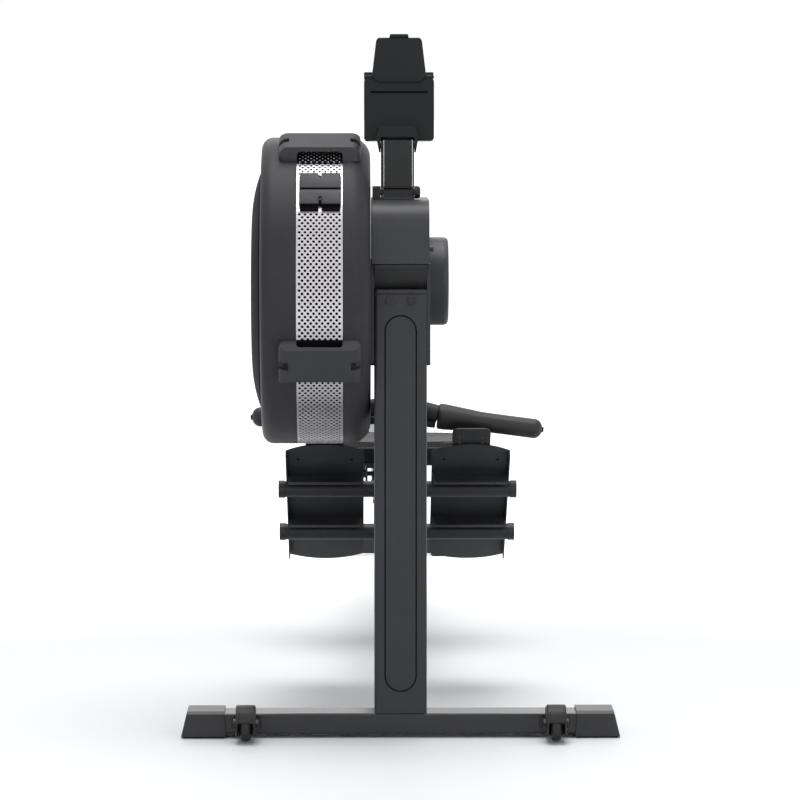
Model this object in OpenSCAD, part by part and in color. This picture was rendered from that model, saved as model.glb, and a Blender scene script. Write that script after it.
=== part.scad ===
// Air rowing machine: a front fan on an upright, a level rail with a sliding seat, and a pull handle.
// X runs across the machine, Y from the fan towards the seat and Z up.
// The origin is on the floor under the middle of the machine.
// Inside the modules, y counts back from the front face of the front foot.

/* [Base frame] */
// Front face of the front foot to the back of the rear foot
base_l = 2418; // [2200:2:2700]
// Overall width across the front foot
front_foot_w = 637; // [600:1:700]
// Overall width across the rear foot
rear_foot_w = 310; // [280:1:500]
// Depth of the foot tubes, front to back
foot_d = 60; // [56:1:70]
// Height of the foot tubes
foot_h = 30; // [26:1:36]
// Underside of the foot tubes above the floor
foot_z = 6; // [6:0.5:10]
// Wall of the steel tubes
tube_wall = 2.5; // [2:0.5:4]
// Length of each foot end cap
foot_cap_l = 65; // [50:1:80]
// How far an end cap stands out from its tube all round
foot_cap_lip = 3.6; // [3:0.1:5]
// How far an end cap's outer face leans in
foot_cap_lean = 9; // [0:1:14]
// Width of the upright post
post_w = 76; // [70:1:84]
// Height of the post's top above the floor
post_top_z = 632; // [600:1:640]
// Corner radius of the post
post_r = 5; // [3:0.5:8]
// Width of the pressed outline on the post, between the middles of its groove
groove_w = 45; // [30:1:56]
// Length of the pressed outline
groove_l = 545; // [400:1:560]
// Width of the groove
groove_t = 2; // [1:0.5:3]

/* [Transport wheels] */
// Middle of a wheel to the end of the front foot
wheel_in = 95; // [94:0.5:160]
// Wheel radius
wheel_r = 25; // [20:0.5:26]
// Wheel width
wheel_w = 18; // [12:1:22]
// Axle ahead of the front foot
wheel_ahead = 40; // [36:1:46]
// Gap from the wheel to the floor
wheel_lift = 2; // [1:0.5:6]
// Radius of the wheel bolts
wheel_bolt_r = 4; // [3:0.5:5]

/* [Rail] */
// Width of the rail's box section
rail_w = 52; // [44:1:60]
// Underside of the rail above the floor
rail_z = 205; // [190:1:215]
// Height of the rail with its flange
rail_h = 85; // [78:1:95]
// Width of the top flange that the rollers run on
flange_w = 74; // [68:1:78]
// Thickness of the top flange
flange_t = 6; // [4:0.5:8]
// Wall of the rail
rail_wall = 4; // [3:0.5:5]
// Length of the rubber stops
stop_l = 19; // [12:1:30]
// Front foot to the front rail stop
stop_front = 600; // [585:1:620]
// Back of the rear foot to the rear rail stop
stop_rear = 150; // [120:1:200]

/* [Fan] */
// Front foot to the fan's axis
fan_y = 160; // [158:1:170]
// Fan axis above the floor
fan_z = 642.5; // [640:0.5:650]
// Radius of the fan drum
drum_r = 226; // [210:1:230]
// Width of the fan drum
drum_w = 159; // [150:1:170]
// Wall of the drum's shells
drum_wall = 3; // [2.5:0.5:4]
// Corner radius of the drum
drum_corner = 17; // [10:1:20]
// Corner radius of the drum beside the post
drum_corner_in = 30; // [15:1:34]
// Width of the perforated band
band_w = 66.5; // [50:0.5:76]
// Middle of the band to the drum's inner face
band_in = 73.5; // [66:0.5:84]
// Thickness of the band
band_t = 1.5; // [1:0.5:2]
// Radius of the domed side cover
dome_r = 172; // [160:1:184]
// How far the dome stands out
dome_h = 15; // [14:0.5:20]
// Number of intake vents round the dome
vent_count = 32; // [20:1:36]
// Radius of the fan wheel
fan_r = 204; // [190:1:205]
// Inner ends of the fan blades from the axis
blade_r0 = 62; // [56:1:80]
// Number of blades
blade_count = 20; // [12:1:24]
// Thickness of a blade
blade_t = 2.4; // [1.6:0.2:4]
// Radius of curvature of a blade
blade_bend = 150; // [130:1:220]
// Width of the fan wheel
fan_w = 110; // [90:1:116]
// Radius of the fan shaft
shaft_r = 8; // [7:0.5:10]
// Running clearance of shafts, wheels and rollers
run_fit = 0.05; // [0.02:0.01:0.09]
// Radius of the shaft bearings
bearing_r = 18; // [17:0.5:21]

/* [Drive head] */
// Thickness of the side plates
plate_t = 5; // [4:0.5:6]
// Height of the bracket on top of the post
head_h = 19; // [14:1:24]
// Top of the side plates above the floor
plate_top_z = 688; // [680:1:690]
// Top of the drive cover above the floor
cover_top_z = 779.5; // [776:0.5:782]
// Radius over the cover's front top edge
cover_r = 41.5; // [25:0.5:45]
// Wall of the covers
cover_wall = 2.5; // [2:0.5:3]
// How far the cover stands ahead of the post
cover_ahead = 6; // [0:1:12]
// Front foot to the back of the cover
cover_back = 255; // [254:1:270]
// Radius of the spool's flanges
spool_r = 86; // [70:1:87]
// Radius on which the strap winds
wind_r = 50; // [40:1:56]
// Radius of the spring housing
housing_r = 65; // [58:1:70]
// How far the spring housing stands out
housing_t = 29; // [24:1:34]
// Middle of the spring housing above the fan's axis
housing_up = 14; // [0:1:16]

/* [Pull strap and handle] */
// Width of the strap
strap_w = 25; // [18:1:30]
// Thickness of the strap
strap_t = 1.6; // [1:0.2:2.4]
// Radius of the guide roller
guide_r = 14; // [11:0.5:16]
// Strap's height above the floor where it leaves the guide roller
strap_z = 448; // [440:1:456]
// Front foot to the middle of the handle
handle_y = 372; // [368:1:390]
// Length of the handle
handle_l = 452; // [420:1:500]
// Radius of a grip at its outer end
grip_r = 15; // [13:0.5:17]
// Radius of a grip at its inner end
grip_r_in = 19; // [17:0.5:21]
// Half the gap between the grips
grip_gap = 62; // [50:1:70]
// Droop of each end of the handle, in degrees
handle_droop = 5; // [0:0.5:8]
// Lean of the whole handle on its rest, in degrees
handle_roll = 2.5; // [0:0.5:3]

/* [Footrest] */
// Slope of the foot plates, in degrees
foot_slope = 42; // [38:0.5:46]
// Front foot to the upper cross tube
tube_y = 398; // [394:1:410]
// Upper cross tube above the floor
tube_z = 325; // [322:1:330]
// Distance between the two cross tubes
tube_gap = 111.5; // [105:0.5:116]
// Radius of the cross tubes
tube_r = 12.5; // [11:0.5:13]
// Length of the cross tubes with their caps
tube_l = 367; // [362:1:390]
// Middle of the machine to the middle of a foot plate
foot_x = 112; // [110:0.5:118]
// Width of a foot plate
foot_w = 120; // [112:1:126]
// Plate above the upper tube, along its slope
foot_up = 96; // [80:1:104]
// Plate below the lower tube, along its slope
foot_down = 90; // [70:1:96]
// Thickness of the foot plates
foot_t = 3; // [2:0.5:4]
// Depth of the flange at a foot plate's outer edge
foot_flange = 10; // [6:1:14]
// Width of the adjustable foot holder
holder_w = 66; // [56:1:72]
// Height of the holder's heel cup
heel_h = 38; // [25:1:50]
// Width of a foot strap
foot_strap_w = 38; // [30:1:45]

/* [Seat] */
// Front foot to the middle of the seat
seat_y = 1000; // [980:1:1040]
// Width of the seat
seat_w = 310; // [280:1:340]
// Depth of the seat, front to back
seat_d = 240; // [200:1:260]
// Thickness of the cushion
seat_t = 37; // [30:1:45]
// Hollow in the middle of the cushion
seat_dish = 6; // [2:0.5:9]
// Radius of the upper rollers
roller_r = 10; // [9:0.5:11]
// Radius of the lower rollers
lower_roller_r = 9; // [7:0.5:10]
// Length of the seat carriage
carriage_l = 180; // [150:1:200]
// Thickness of the carriage's plates
carriage_t = 3.5; // [3:0.5:5]

/* [Monitor] */
// Front foot to the arm's hinge
arm_y = 52; // [48:1:60]
// Length of the arm between its hinges
arm_l = 67.5; // [66:0.5:90]
// Width of the arm
arm_w = 48; // [40:1:50]
// Middle of the arm to the middle of the machine
arm_x = -4; // [-6:0.5:4]
// Depth of the arm
arm_d = 20; // [16:1:24]
// Tilt of the monitor at rest, in degrees
monitor_tilt = 4; // [0:1:8]
// Middle of the monitor case to the middle of the arm
case_x = 2.5; // [-4:0.5:4]
// Width of the monitor case
case_w = 101.5; // [96:0.5:110]
// Height of the monitor case
case_h = 90; // [84:1:96]
// Depth of the monitor case
case_d = 26; // [22:1:30]
// Height of the phone holder above the case
holder_h = 59; // [45:1:64]
// Number of buttons under the screen
button_count = 3; // [3:1:3]
// Radius of a button
button_r = 6; // [4:0.5:7]
// Travel of a button
button_travel = 1; // [0.6:0.1:1.2]

/* [Hidden] */
$fn = 64;

steel = "#3a3b3e";
plastic = "#2c2d2f";
rubber = "#1c1c1d";
metal = "#c9c8ca";

fit = 0.1;
gap = 0.3;
wheel_x = front_foot_w / 2 - wheel_in;
wheel_z = wheel_r + wheel_lift;
fender_r = wheel_r + 4;
front_most = min(fan_y - drum_r, -wheel_ahead - fender_r);
rear_most = base_l + foot_cap_lip;
front_y = -(front_most + rear_most) / 2;
foot_top_z = foot_z + foot_h;
pad_t = foot_z - foot_cap_lip;
rear_y = base_l - foot_d;
rail_top_z = rail_z + rail_h;
head_top_z = post_top_z + head_h;
plate_x = post_w / 2;
plate_out = plate_x + plate_t;
drum_x1 = -plate_out;
drum_x0 = drum_x1 - drum_w;
band_x0 = drum_x1 - band_in - band_w / 2;
band_x1 = band_x0 + band_w;
lip_w = 6;
fan_x = (drum_x0 + drum_x1) / 2;
shaft_end = 12;
sleeve_r = shaft_r + 4;
cover_x = plate_out - 1.5;
port_r0 = 66;
port_r1 = 132;
port_count = 6;
dial_r = 30;
// Angles above the front, seen from the side
bridge_first = -23.8;
clamp_up = 41.5;
bridge_count = 4;
bridge_l = 66;
bridge_w = 118;
bridge_up = 18;
guide_y = fan_y + wind_r + guide_r;
cheek_r = 28;
cheek_drop = 60;
guide_z = strap_z + guide_r;
cheek_x = strap_w / 2 + 6;
cheek_t = 5;
handle_core_r = grip_r - 1;
handle_slope = handle_droop + abs(handle_roll);
cradle_top = strap_z - handle_core_r / cos(handle_slope) - (cheek_x + cheek_t) * tan(handle_slope) - gap;
foot_x0 = foot_x - foot_w / 2;
foot_x1 = foot_x + foot_w / 2;
plate_n = tube_r + fit;
plate_top_n = plate_n + foot_t;
holder_n = plate_top_n + gap;
foot_y0 = -foot_up;
foot_y1 = tube_gap + foot_down;
bracket_t = 4;
upper_z = rail_top_z + roller_r + gap;
lower_z = rail_top_z - flange_t - lower_roller_r - gap;
carriage_x = flange_w / 2 + 7;
carriage_top = upper_z + roller_r + 5.5;
roller_axle_r = 4;
pan_t = 4;
cushion_z = carriage_top + pan_t + gap;
arm_z = cover_top_z + arm_d / 2 + 0.5;
hinge_r = 9;
pin_r = 4;
case_n = 10;
case_w0 = 8;
screen_t = 2;

// y counts back from the front foot
module placed() {
    translate([0, front_y, 0]) children();
}

module mirrored() {
    children();
    mirror([1, 0, 0]) children();
}

// A profile drawn in Y and Z, run across from x0 to x1
module on_x(x0, x1) {
    translate([x0, 0, 0]) rotate([90, 0, 90]) linear_extrude(x1 - x0) children();
}

// A profile drawn in X and Z, run back from y0 to y1
module on_y(y0, y1) {
    translate([0, y1, 0]) rotate([90, 0, 0]) linear_extrude(y1 - y0) children();
}

module rod_x(r, x0, x1) {
    translate([x0, 0, 0]) rotate([0, 90, 0]) cylinder(r = r, h = x1 - x0);
}

// A profile drawn as radius and X, turned about the X axis
module turned() {
    rotate([0, 90, 0]) rotate_extrude($fn = 128) children();
}

module at_fan() {
    placed() translate([0, fan_y, fan_z]) children();
}

module rounded(w, h, r) {
    square([w - 2 * r, h], center = true);
    square([w, h - 2 * r], center = true);
    for (sx = [-1, 1], sy = [-1, 1]) translate([sx * (w / 2 - r), sy * (h / 2 - r)]) circle(r = r);
}

module ring(r_out, r_in) {
    difference() {
        circle(r = r_out);
        circle(r = r_in);
    }
}

module pill(w, l) {
    square([w, l - w], center = true);
    for (s = [-1, 1]) translate([0, s * (l - w) / 2]) circle(d = w);
}

// The hexagon head of a bolt, its axis along Y and its face towards the front
module hex_head(d, t) {
    rotate([90, 0, 0]) cylinder(d = d, h = t, $fn = 6);
}

// A foot tube that runs across, from its own front face
module foot_tube(w) {
    on_x(-w / 2 + 10, w / 2 - 10) translate([foot_d / 2, foot_z + foot_h / 2]) difference() {
        rounded(foot_d, foot_h, 3);
        rounded(foot_d - 2 * tube_wall, foot_h - 2 * tube_wall, 1);
    }
}

module foot_cap(w) {
    x1 = w / 2;
    x0 = x1 - foot_cap_l;
    z0 = foot_z - foot_cap_lip;
    z1 = foot_top_z + foot_cap_lip;
    y0 = -foot_cap_lip;
    y1 = foot_d + foot_cap_lip;
    difference() {
        intersection() {
            on_y(y0, y1) polygon([[x0, z0], [x1, z0], [x1 - foot_cap_lean, z1], [x0 + 2, z1]]);
            on_x(x0, x1) polygon([[y0, z0], [y1, z0], [y1, z1 - 4], [y1 - 4, z1], [y0 + 4, z1],
                [y0, z1 - 4]]);
        }
        on_x(x0 - 1, x1 - 10 + fit) translate([foot_d / 2, foot_z + foot_h / 2])
            rounded(foot_d + 2 * fit, foot_h + 2 * fit, 3);
    }
}

module foot_pad(w) {
    translate([w / 2 - foot_cap_l + 3, 2, 0]) cube([foot_cap_l - 6, foot_d - 4, pad_t]);
}

module front_foot() {
    color(steel) placed() foot_tube(front_foot_w);
}

module rear_foot() {
    color(steel) placed() translate([0, rear_y, 0]) foot_tube(rear_foot_w);
}

module foot_end_caps() {
    color(plastic) placed() mirrored() {
        foot_cap(front_foot_w);
        translate([0, rear_y, 0]) foot_cap(rear_foot_w);
    }
}

module foot_pads() {
    color(rubber) placed() mirrored() {
        foot_pad(front_foot_w);
        translate([0, rear_y, 0]) foot_pad(rear_foot_w);
    }
}

bracket_in = wheel_w / 2 + 0.6;
bracket_out = bracket_in + 3.4;

module wheel_bracket() {
    translate([wheel_x, -wheel_ahead, wheel_z]) difference() {
        union() {
            on_x(-bracket_out, bracket_out) {
                circle(r = fender_r);
                translate([0, 14 - wheel_z]) square([wheel_ahead, wheel_z - 14 + fender_r]);
            }
            on_y(wheel_ahead - 3, wheel_ahead) translate([0, 22 - wheel_z]) square([48, 16], center = true);
        }
        on_x(-bracket_in, bracket_in) {
            circle(r = wheel_r + 1.5);
            translate([-fender_r, -wheel_z]) square([fender_r + wheel_r + 1.5, wheel_z]);
        }
        on_x(-bracket_out - 1, bracket_out + 1) translate([-fender_r, -wheel_z - 5])
            square([2 * fender_r, 15]);
        rod_x(wheel_bolt_r + fit, -bracket_out - 1, bracket_out + 1);
    }
}

module wheel_brackets() {
    color(plastic) placed() mirrored() wheel_bracket();
}

module wheel_bolts() {
    color(steel) placed() mirrored() translate([wheel_x, -wheel_ahead, wheel_z]) {
        rod_x(wheel_bolt_r, -bracket_out - 2, bracket_out + 2);
        for (x = [-bracket_out - 4, bracket_out]) rod_x(7, x, x + 4);
    }
}

module wheel() {
    translate([0, -wheel_ahead, wheel_z]) difference() {
        turned() polygon([[wheel_bolt_r + run_fit, -wheel_w / 2], [9, -wheel_w / 2], [10, -5],
            [wheel_r - 6, -5], [wheel_r - 5, -wheel_w / 2], [wheel_r - 2, -wheel_w / 2],
            [wheel_r, 2 - wheel_w / 2], [wheel_r, wheel_w / 2 - 2], [wheel_r - 2, wheel_w / 2],
            [wheel_r - 5, wheel_w / 2], [wheel_r - 6, 5], [10, 5], [9, wheel_w / 2],
            [wheel_bolt_r + run_fit, wheel_w / 2]]);
        for (a = [0:60:300]) rotate([a, 0, 0]) translate([0, 14.2, 0]) rod_x(2.6, -6, 6);
    }
}

module wheel_left() {
    color(rubber) placed() translate([-wheel_x, 0, 0]) wheel();
}

module wheel_right() {
    color(rubber) placed() translate([wheel_x, 0, 0]) wheel();
}

module post() {
    groove_z = (foot_top_z + post_top_z) / 2 + 7;
    color(steel) placed() difference() {
        translate([0, foot_d / 2, foot_top_z]) linear_extrude(post_top_z - foot_top_z) difference() {
            rounded(post_w, foot_d, post_r);
            rounded(post_w - 2 * tube_wall, foot_d - 2 * tube_wall, post_r - 2);
        }
        on_y(-1, 1) translate([0, groove_z]) difference() {
            pill(groove_w + groove_t, groove_l + groove_t);
            pill(groove_w - groove_t, groove_l - groove_t);
        }
    }
}

module head_bracket() {
    color(steel) placed() difference() {
        translate([0, foot_d / 2, post_top_z]) linear_extrude(head_h) rounded(post_w, foot_d, post_r);
        on_x(-post_w, post_w) translate([-1, post_top_z + head_h - 7]) square([3, 1.6]);
    }
}

plate_screw_r = 5;

module at_plate_screws() {
    for (y = [16, foot_d - 16]) translate([0, y, post_top_z - 26]) children();
}

module frame_bolts() {
    color(steel) placed() {
        for (x = [-15, 15]) translate([x, 0, post_top_z + 3.5]) hex_head(13, 4);
        mirrored() at_plate_screws() rod_x(plate_screw_r, plate_out - 3, plate_out - 0.3);
    }
}

// One side plate, from the post's side back round the fan shaft
module side_plate() {
    z0 = post_top_z - 91;
    color(steel) difference() {
        on_x(plate_x, plate_out) difference() {
            union() {
                translate([4, z0 + 8]) square([foot_d - 8, plate_top_z - z0 - 8]);
                translate([12, z0]) square([foot_d - 24, 10]);
                for (y = [12, foot_d - 12]) translate([y, z0 + 8]) circle(r = 8);
                translate([4, post_top_z - 30]) square([cover_back - 44, plate_top_z - post_top_z + 30]);
                polygon([[foot_d - 8, post_top_z - 29], [foot_d - 8, post_top_z - 74],
                    [foot_d + 37, post_top_z - 29]]);
                translate([cover_back - 44, fan_z + 1]) circle(r = plate_top_z - fan_z - 1);
                translate([fan_y, fan_z]) circle(r = 52);
            }
            translate([-cover_ahead, plate_top_z]) square([cover_back * 2, plate_top_z]);
        }
        translate([0, fan_y, fan_z]) rod_x(bearing_r + fit, plate_x - 1, plate_out + 1);
        at_plate_screws() rod_x(plate_screw_r + fit, plate_out - 3, plate_out + 1);
    }
}

module side_plate_left() {
    placed() mirror([1, 0, 0]) side_plate();
}

module side_plate_right() {
    placed() side_plate();
}

// Bearings in the drum's face and in the left plate hold the shaft, the right one holds the spool
module shaft_bearings() {
    color(metal) at_fan() {
        turned() translate([shaft_r + run_fit, drum_x0 + 1])
            square([bearing_r - shaft_r - run_fit, 8]);
        turned() translate([shaft_r + run_fit, -plate_out]) square([bearing_r - shaft_r - run_fit, plate_t]);
        turned() translate([sleeve_r + run_fit, plate_x]) square([bearing_r - sleeve_r - run_fit, plate_t]);
    }
}

module fan_shaft() {
    color(metal) at_fan() rod_x(shaft_r, drum_x0 + 0.5, shaft_end);
}

// Curved blades on a back plate, with a hub and a stiffening ring
module fan_wheel() {
    x0 = fan_x - fan_w / 2;
    x1 = fan_x + fan_w / 2;
    color("#7d7f83") at_fan() {
        turned() translate([shaft_r + fit, x0 + 8]) square([24, fan_w - 8]);
        turned() translate([shaft_r + fit, x1 - 3]) square([fan_r - shaft_r - fit, 3]);
        turned() translate([fan_r - 9, x0]) square([9, 3]);
        for (i = [0:blade_count - 1]) on_x(x0, x1) rotate(i * 360 / blade_count) blade();
    }
}

module blade() {
    mid = (blade_r0 + fan_r) / 2;
    intersection() {
        ring(fan_r - 0.5, blade_r0);
        translate([mid, -blade_bend]) ring(blade_bend + blade_t / 2, blade_bend - blade_t / 2);
        translate([blade_r0 - 10, -90]) square([fan_r, 120]);
    }
}

module strap_spool() {
    flange_x = strap_w / 2 + 2;
    color(plastic) at_fan() {
        turned() translate([shaft_r + run_fit, -flange_x]) square([wind_r - strap_t - gap - shaft_r, 2 * flange_x]);
        for (s = [-1, 1]) turned() polygon([[shaft_r + run_fit, s * (flange_x - 1)],
            [wind_r - 6, s * (flange_x - 1)], [spool_r, s * (flange_x + 2)], [spool_r, s * (flange_x + 5)],
            [wind_r - 6, s * (flange_x + 3)], [shaft_r + run_fit, s * (flange_x + 3)]]);
        turned() translate([shaft_r + run_fit, flange_x + 2])
            square([sleeve_r - shaft_r - run_fit, plate_out + 12 - flange_x]);
    }
}

housing_wall = 3;
spring_turns = 5;
spring_steps = 18;
spring_r0 = sleeve_r + gap;
spring_r1 = housing_r - housing_wall - housing_up - gap - 1;

function spiral(t) = spring_r0 + (spring_r1 - spring_r0) * t / spring_turns;
function spiral_point(i, out) = let (t = i / spring_steps)
    [(spiral(t) + out) * cos(360 * t), (spiral(t) + out) * sin(360 * t)];

module recoil_spring() {
    n = spring_turns * spring_steps;
    color(metal) at_fan() on_x(plate_out + 2, plate_out + 14) rotate(-90) polygon(concat(
        [for (i = [0:n]) spiral_point(i, 1)], [for (i = [n:-1:0]) spiral_point(i, 0)]));
}

module spring_housing() {
    x0 = plate_out;
    x1 = plate_out + housing_t;
    color(plastic) at_fan() translate([0, 0, housing_up]) difference() {
        turned() polygon([[0, x0], [housing_r, x0], [housing_r, x1 - 7], [housing_r - 1, x1 - 3],
            [housing_r - 3, x1 - 1], [housing_r - 7, x1], [0, x1]]);
        rod_x(housing_r - housing_wall, x0 - 1, x0 + 17);
        for (a = [40:90:310]) rotate([a, 0, 0]) translate([0, housing_r - 14, 0]) rod_x(4, x1 - 3, x1 + 1);
    }
}

module cover_outline(in) {
    r = cover_r - in;
    y0 = -cover_ahead + in;
    y1 = cover_back - in;
    z1 = cover_top_z - in;
    translate([y0, plate_top_z]) square([y1 - y0, z1 - r - plate_top_z]);
    translate([y0 + r, plate_top_z]) square([y1 - y0 - 2 * r, z1 - plate_top_z]);
    for (y = [y0 + r, y1 - r]) translate([y, z1 - r]) circle(r = r);
}

module drive_cover() {
    color(plastic) placed() {
        difference() {
            on_x(-cover_x, cover_x) cover_outline(0);
            on_x(-cover_x + cover_wall, cover_x - cover_wall) {
                cover_outline(cover_wall);
                translate([-cover_ahead + cover_wall, plate_top_z - 1])
                    square([cover_back + cover_ahead - 2 * cover_wall, 3]);
            }
        }
        on_x(-plate_x + gap, plate_x - gap) translate([cover_back - cover_wall, plate_top_z - 84])
            square([cover_wall, 84]);
        translate([0, 12, plate_top_z + 21]) rod_x(4, cover_x - 1, cover_x + 6);
    }
}

module lower_cover() {
    z1 = plate_top_z - 1;
    z0 = head_top_z + 0.2;
    color(plastic) placed() difference() {
        on_x(-plate_x + gap, plate_x - gap) polygon([[-cover_ahead + 2, z1], [-cover_ahead + 2, z1 - 4],
            [foot_d * 0.2, z0], [foot_d, z0], [foot_d, z1]]);
        on_x(-25, 25) translate([0, z0 - 1]) square([foot_d * 0.35, 3]);
    }
}

// The corner of the drum as a radius and X profile, with s = -1 for the left face
module shell_profile(x_face, x_lip, s) {
    intersection() {
        translate([0, min(x_face, x_lip)]) square([drum_r, abs(x_face - x_lip)]);
        difference() {
            shell_block(x_face, x_lip, 0, s);
            shell_block(x_face - s * drum_wall, x_lip - s * 20, drum_wall, s);
        }
    }
}

// Everything inside the drum's outer surface, between a face and a plane across the drum
module shell_block(x_face, x_lip, in, s) {
    c = (s > 0 ? drum_corner_in : drum_corner) - in;
    r = drum_r - in;
    lo = min(x_face, x_lip);
    hi = max(x_face, x_lip);
    translate([0, lo]) square([r - c, hi - lo]);
    translate([0, min(x_face - s * c, x_lip)]) square([r, abs(x_face - s * c - x_lip)]);
    translate([r - c, x_face - s * c]) circle(r = c);
}

// A ring under the band's edge that the band seats on
module band_lip(x0, x1) {
    translate([drum_r - band_t - fit - 2.5, x0]) square([2.5, x1 - x0]);
}

module drum_shell_left() {
    color(plastic) at_fan() difference() {
        union() {
            turned() shell_profile(drum_x0, band_x0 - gap, -1);
            turned() band_lip(band_x0 - 5, band_x0 + lip_w);
            turned() translate([bearing_r + fit, drum_x0 + 1]) square([8, 9]);
        }
        rod_x(bearing_r + fit, drum_x0 - 1, drum_x0 + 12);
        for (i = [0:port_count - 1]) rotate([i * 360 / port_count, 0, 0]) port(drum_x0 - 1, drum_x0 + 8);
    }
}

// One window that lets the air in
module port(x0, x1) {
    half = 180 / port_count - 9;
    on_x(x0, x1) intersection() {
        ring(port_r1, port_r0);
        polygon([[0, 0], [port_r1 * 1.5, -port_r1 * 1.5 * tan(half)],
            [port_r1 * 1.5, port_r1 * 1.5 * tan(half)]]);
    }
}

module drum_shell_right() {
    color(plastic) at_fan() difference() {
        union() {
            turned() shell_profile(drum_x1, band_x1 + gap, 1);
            turned() band_lip(band_x1 - lip_w, band_x1 + 5);
        }
        rod_x(shaft_r + 6, drum_x1 - 12, drum_x1 + 1);
    }
}

// The side cover is flat inside this radius and curves back to its rim outside it
dome_flat = dome_r * 0.61;
dome_bend = (pow(dome_r - dome_flat, 2) + pow(dome_h - 3, 2)) / (2 * (dome_h - 3));

module dome_slice(in) {
    translate([0, drum_x0 - dome_h + in]) square([dome_flat, dome_h - in]);
    intersection() {
        translate([dome_flat, drum_x0 - dome_h + dome_bend]) circle(r = dome_bend - in, $fn = 256);
        translate([dome_flat - 1, drum_x0 - dome_h]) square([dome_r - in - dome_flat + 1, dome_h]);
    }
}

module drum_side_cover() {
    color(plastic) at_fan() difference() {
        turned() difference() {
            dome_slice(0);
            dome_slice(3);
        }
        rod_x(dial_r + gap, drum_x0 - dome_h - 1, drum_x0);
        for (i = [0:vent_count - 1]) rotate([i * 360 / vent_count, 0, 0])
            on_x(drum_x0 - dome_h - 1, drum_x0 - 1) translate([72, 0]) rotate(90) pill(5, 56);
    }
}

module drum_band() {
    color(metal) at_fan() turned() translate([drum_r - band_t, band_x0]) square([band_t, band_w]);
}

module bridge() {
    top = drum_r + bridge_up;
    x0 = (band_x0 + band_x1) / 2;
    in = 8;
    difference() {
        translate([x0, 0, 0]) intersection() {
            on_y(-bridge_l / 2, bridge_l / 2) polygon([[-bridge_w / 2, 0], [bridge_w / 2, 0],
                [bridge_w / 2, top - in], [bridge_w / 2 - in, top], [in - bridge_w / 2, top],
                [-bridge_w / 2, top - in]]);
            on_x(-bridge_w, bridge_w) polygon([[-bridge_l / 2, 0], [bridge_l / 2, 0],
                [bridge_l / 2, top - in], [bridge_l / 2 - in, top], [in - bridge_l / 2, top],
                [-bridge_l / 2, top - in]]);
        }
        rod_x(drum_r + fit, drum_x0 - 1, drum_x1 + 1, $fn = 256);
        translate([x0, 0, drum_r]) cube([band_w + 2, bridge_l + 2, bridge_up * 2 - 10], center = true);
        for (s = [-1, 1]) translate([x0 + s * (bridge_w / 2 - 9), -6, drum_r + bridge_up - 3])
            cylinder(r = 4, h = 10);
    }
}

module drum_bridges() {
    color(plastic) at_fan() for (i = [0:bridge_count - 1])
        rotate([90 - bridge_first - i * 360 / bridge_count, 0, 0]) bridge();
}

// Two blocks that draw the ends of the band together
module band_clamp() {
    x0 = (band_x0 + band_x1) / 2;
    color(plastic) at_fan() rotate([90 - clamp_up, 0, 0]) for (s = [-1, 1]) difference() {
        translate([x0 - 30.5, min(s * 1, s * 21), drum_r - 2]) cube([61, 20, 11]);
        rod_x(drum_r + fit, drum_x0, drum_x1, $fn = 256);
        translate([x0, s * 21, drum_r + 8]) cube([4, 10, 8], center = true);
    }
}

module damper_dial() {
    face = drum_x0 - dome_h + 7;
    color(plastic) at_fan() {
        turned() polygon([[0, face], [dial_r - 3, face], [dial_r - 3, face - 7], [dial_r, face - 7],
            [dial_r, drum_x0 - 5.5], [0, drum_x0 - 5.5]]);
        on_x(face - 7, face + 1) rounded(10, 46, 4);
    }
}

module damper_shutter() {
    color(steel) at_fan() {
        rod_x(12, drum_x0 - 5.5, drum_x0 - 3);
        difference() {
            turned() translate([0, drum_x0 - 3.4]) square([port_r1 + 5, 1.6]);
            for (i = [0:port_count - 1]) rotate([(i + 0.5) * 360 / port_count, 0, 0])
                port(drum_x0 - 5, drum_x0);
        }
    }
}

// Two cheeks that hold the guide roller and carry the handle's rest
module strap_guide() {
    color(steel) placed() {
        mirrored() difference() {
            on_x(cheek_x, cheek_x + cheek_t) {
                translate([guide_y - cheek_r, rail_top_z]) square([2 * cheek_r, guide_z - rail_top_z]);
                translate([guide_y, guide_z]) circle(r = cheek_r);
                polygon([[guide_y, cradle_top], [guide_y, cradle_top - cheek_drop],
                    [handle_y + 20, cradle_top - 8], [handle_y + 20, cradle_top]]);
            }
            translate([0, guide_y, guide_z]) rod_x(pin_r + fit, cheek_x - 1, cheek_x + cheek_t + 1);
        }
        translate([-cheek_x, guide_y + 40, cradle_top - 4]) cube([2 * cheek_x, handle_y - guide_y - 20, 4]);
        translate([-cheek_x, guide_y - 24, rail_top_z]) cube([2 * cheek_x, 46, 5]);
        translate([0, guide_y, guide_z]) {
            rod_x(pin_r, -cheek_x - cheek_t - 2, cheek_x + cheek_t + 2);
            for (x = [-cheek_x - cheek_t - 4, cheek_x + cheek_t]) rod_x(8, x, x + 4);
        }
    }
}

module guide_roller() {
    half = strap_w / 2 + 5;
    r = guide_r - gap;
    color(plastic) placed() translate([0, guide_y, guide_z]) turned() polygon([
        [pin_r + run_fit, -half], [r + 3, -half], [r + 3, -half + 2], [r, -half + 3],
        [r, half - 3], [r + 3, half - 2], [r + 3, half], [pin_r + run_fit, half]]);
}

// The strap wound on the spool, its drop to the guide roller and its turn under the roller
module strap_lead() {
    color(rubber) placed() on_x(-strap_w / 2, strap_w / 2) {
        translate([fan_y, fan_z]) ring(wind_r, wind_r - strap_t);
        translate([fan_y + wind_r - strap_t, guide_z]) square([strap_t, fan_z - guide_z]);
        translate([guide_y, guide_z]) intersection() {
            ring(guide_r + strap_t, guide_r);
            translate([-guide_r * 2, -guide_r * 2]) square([guide_r * 2, guide_r * 2]);
        }
        translate([guide_y, strap_z - strap_t]) square([guide_r + 4, strap_t]);
    }
}

handle_neck = grip_r + 9;

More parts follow.
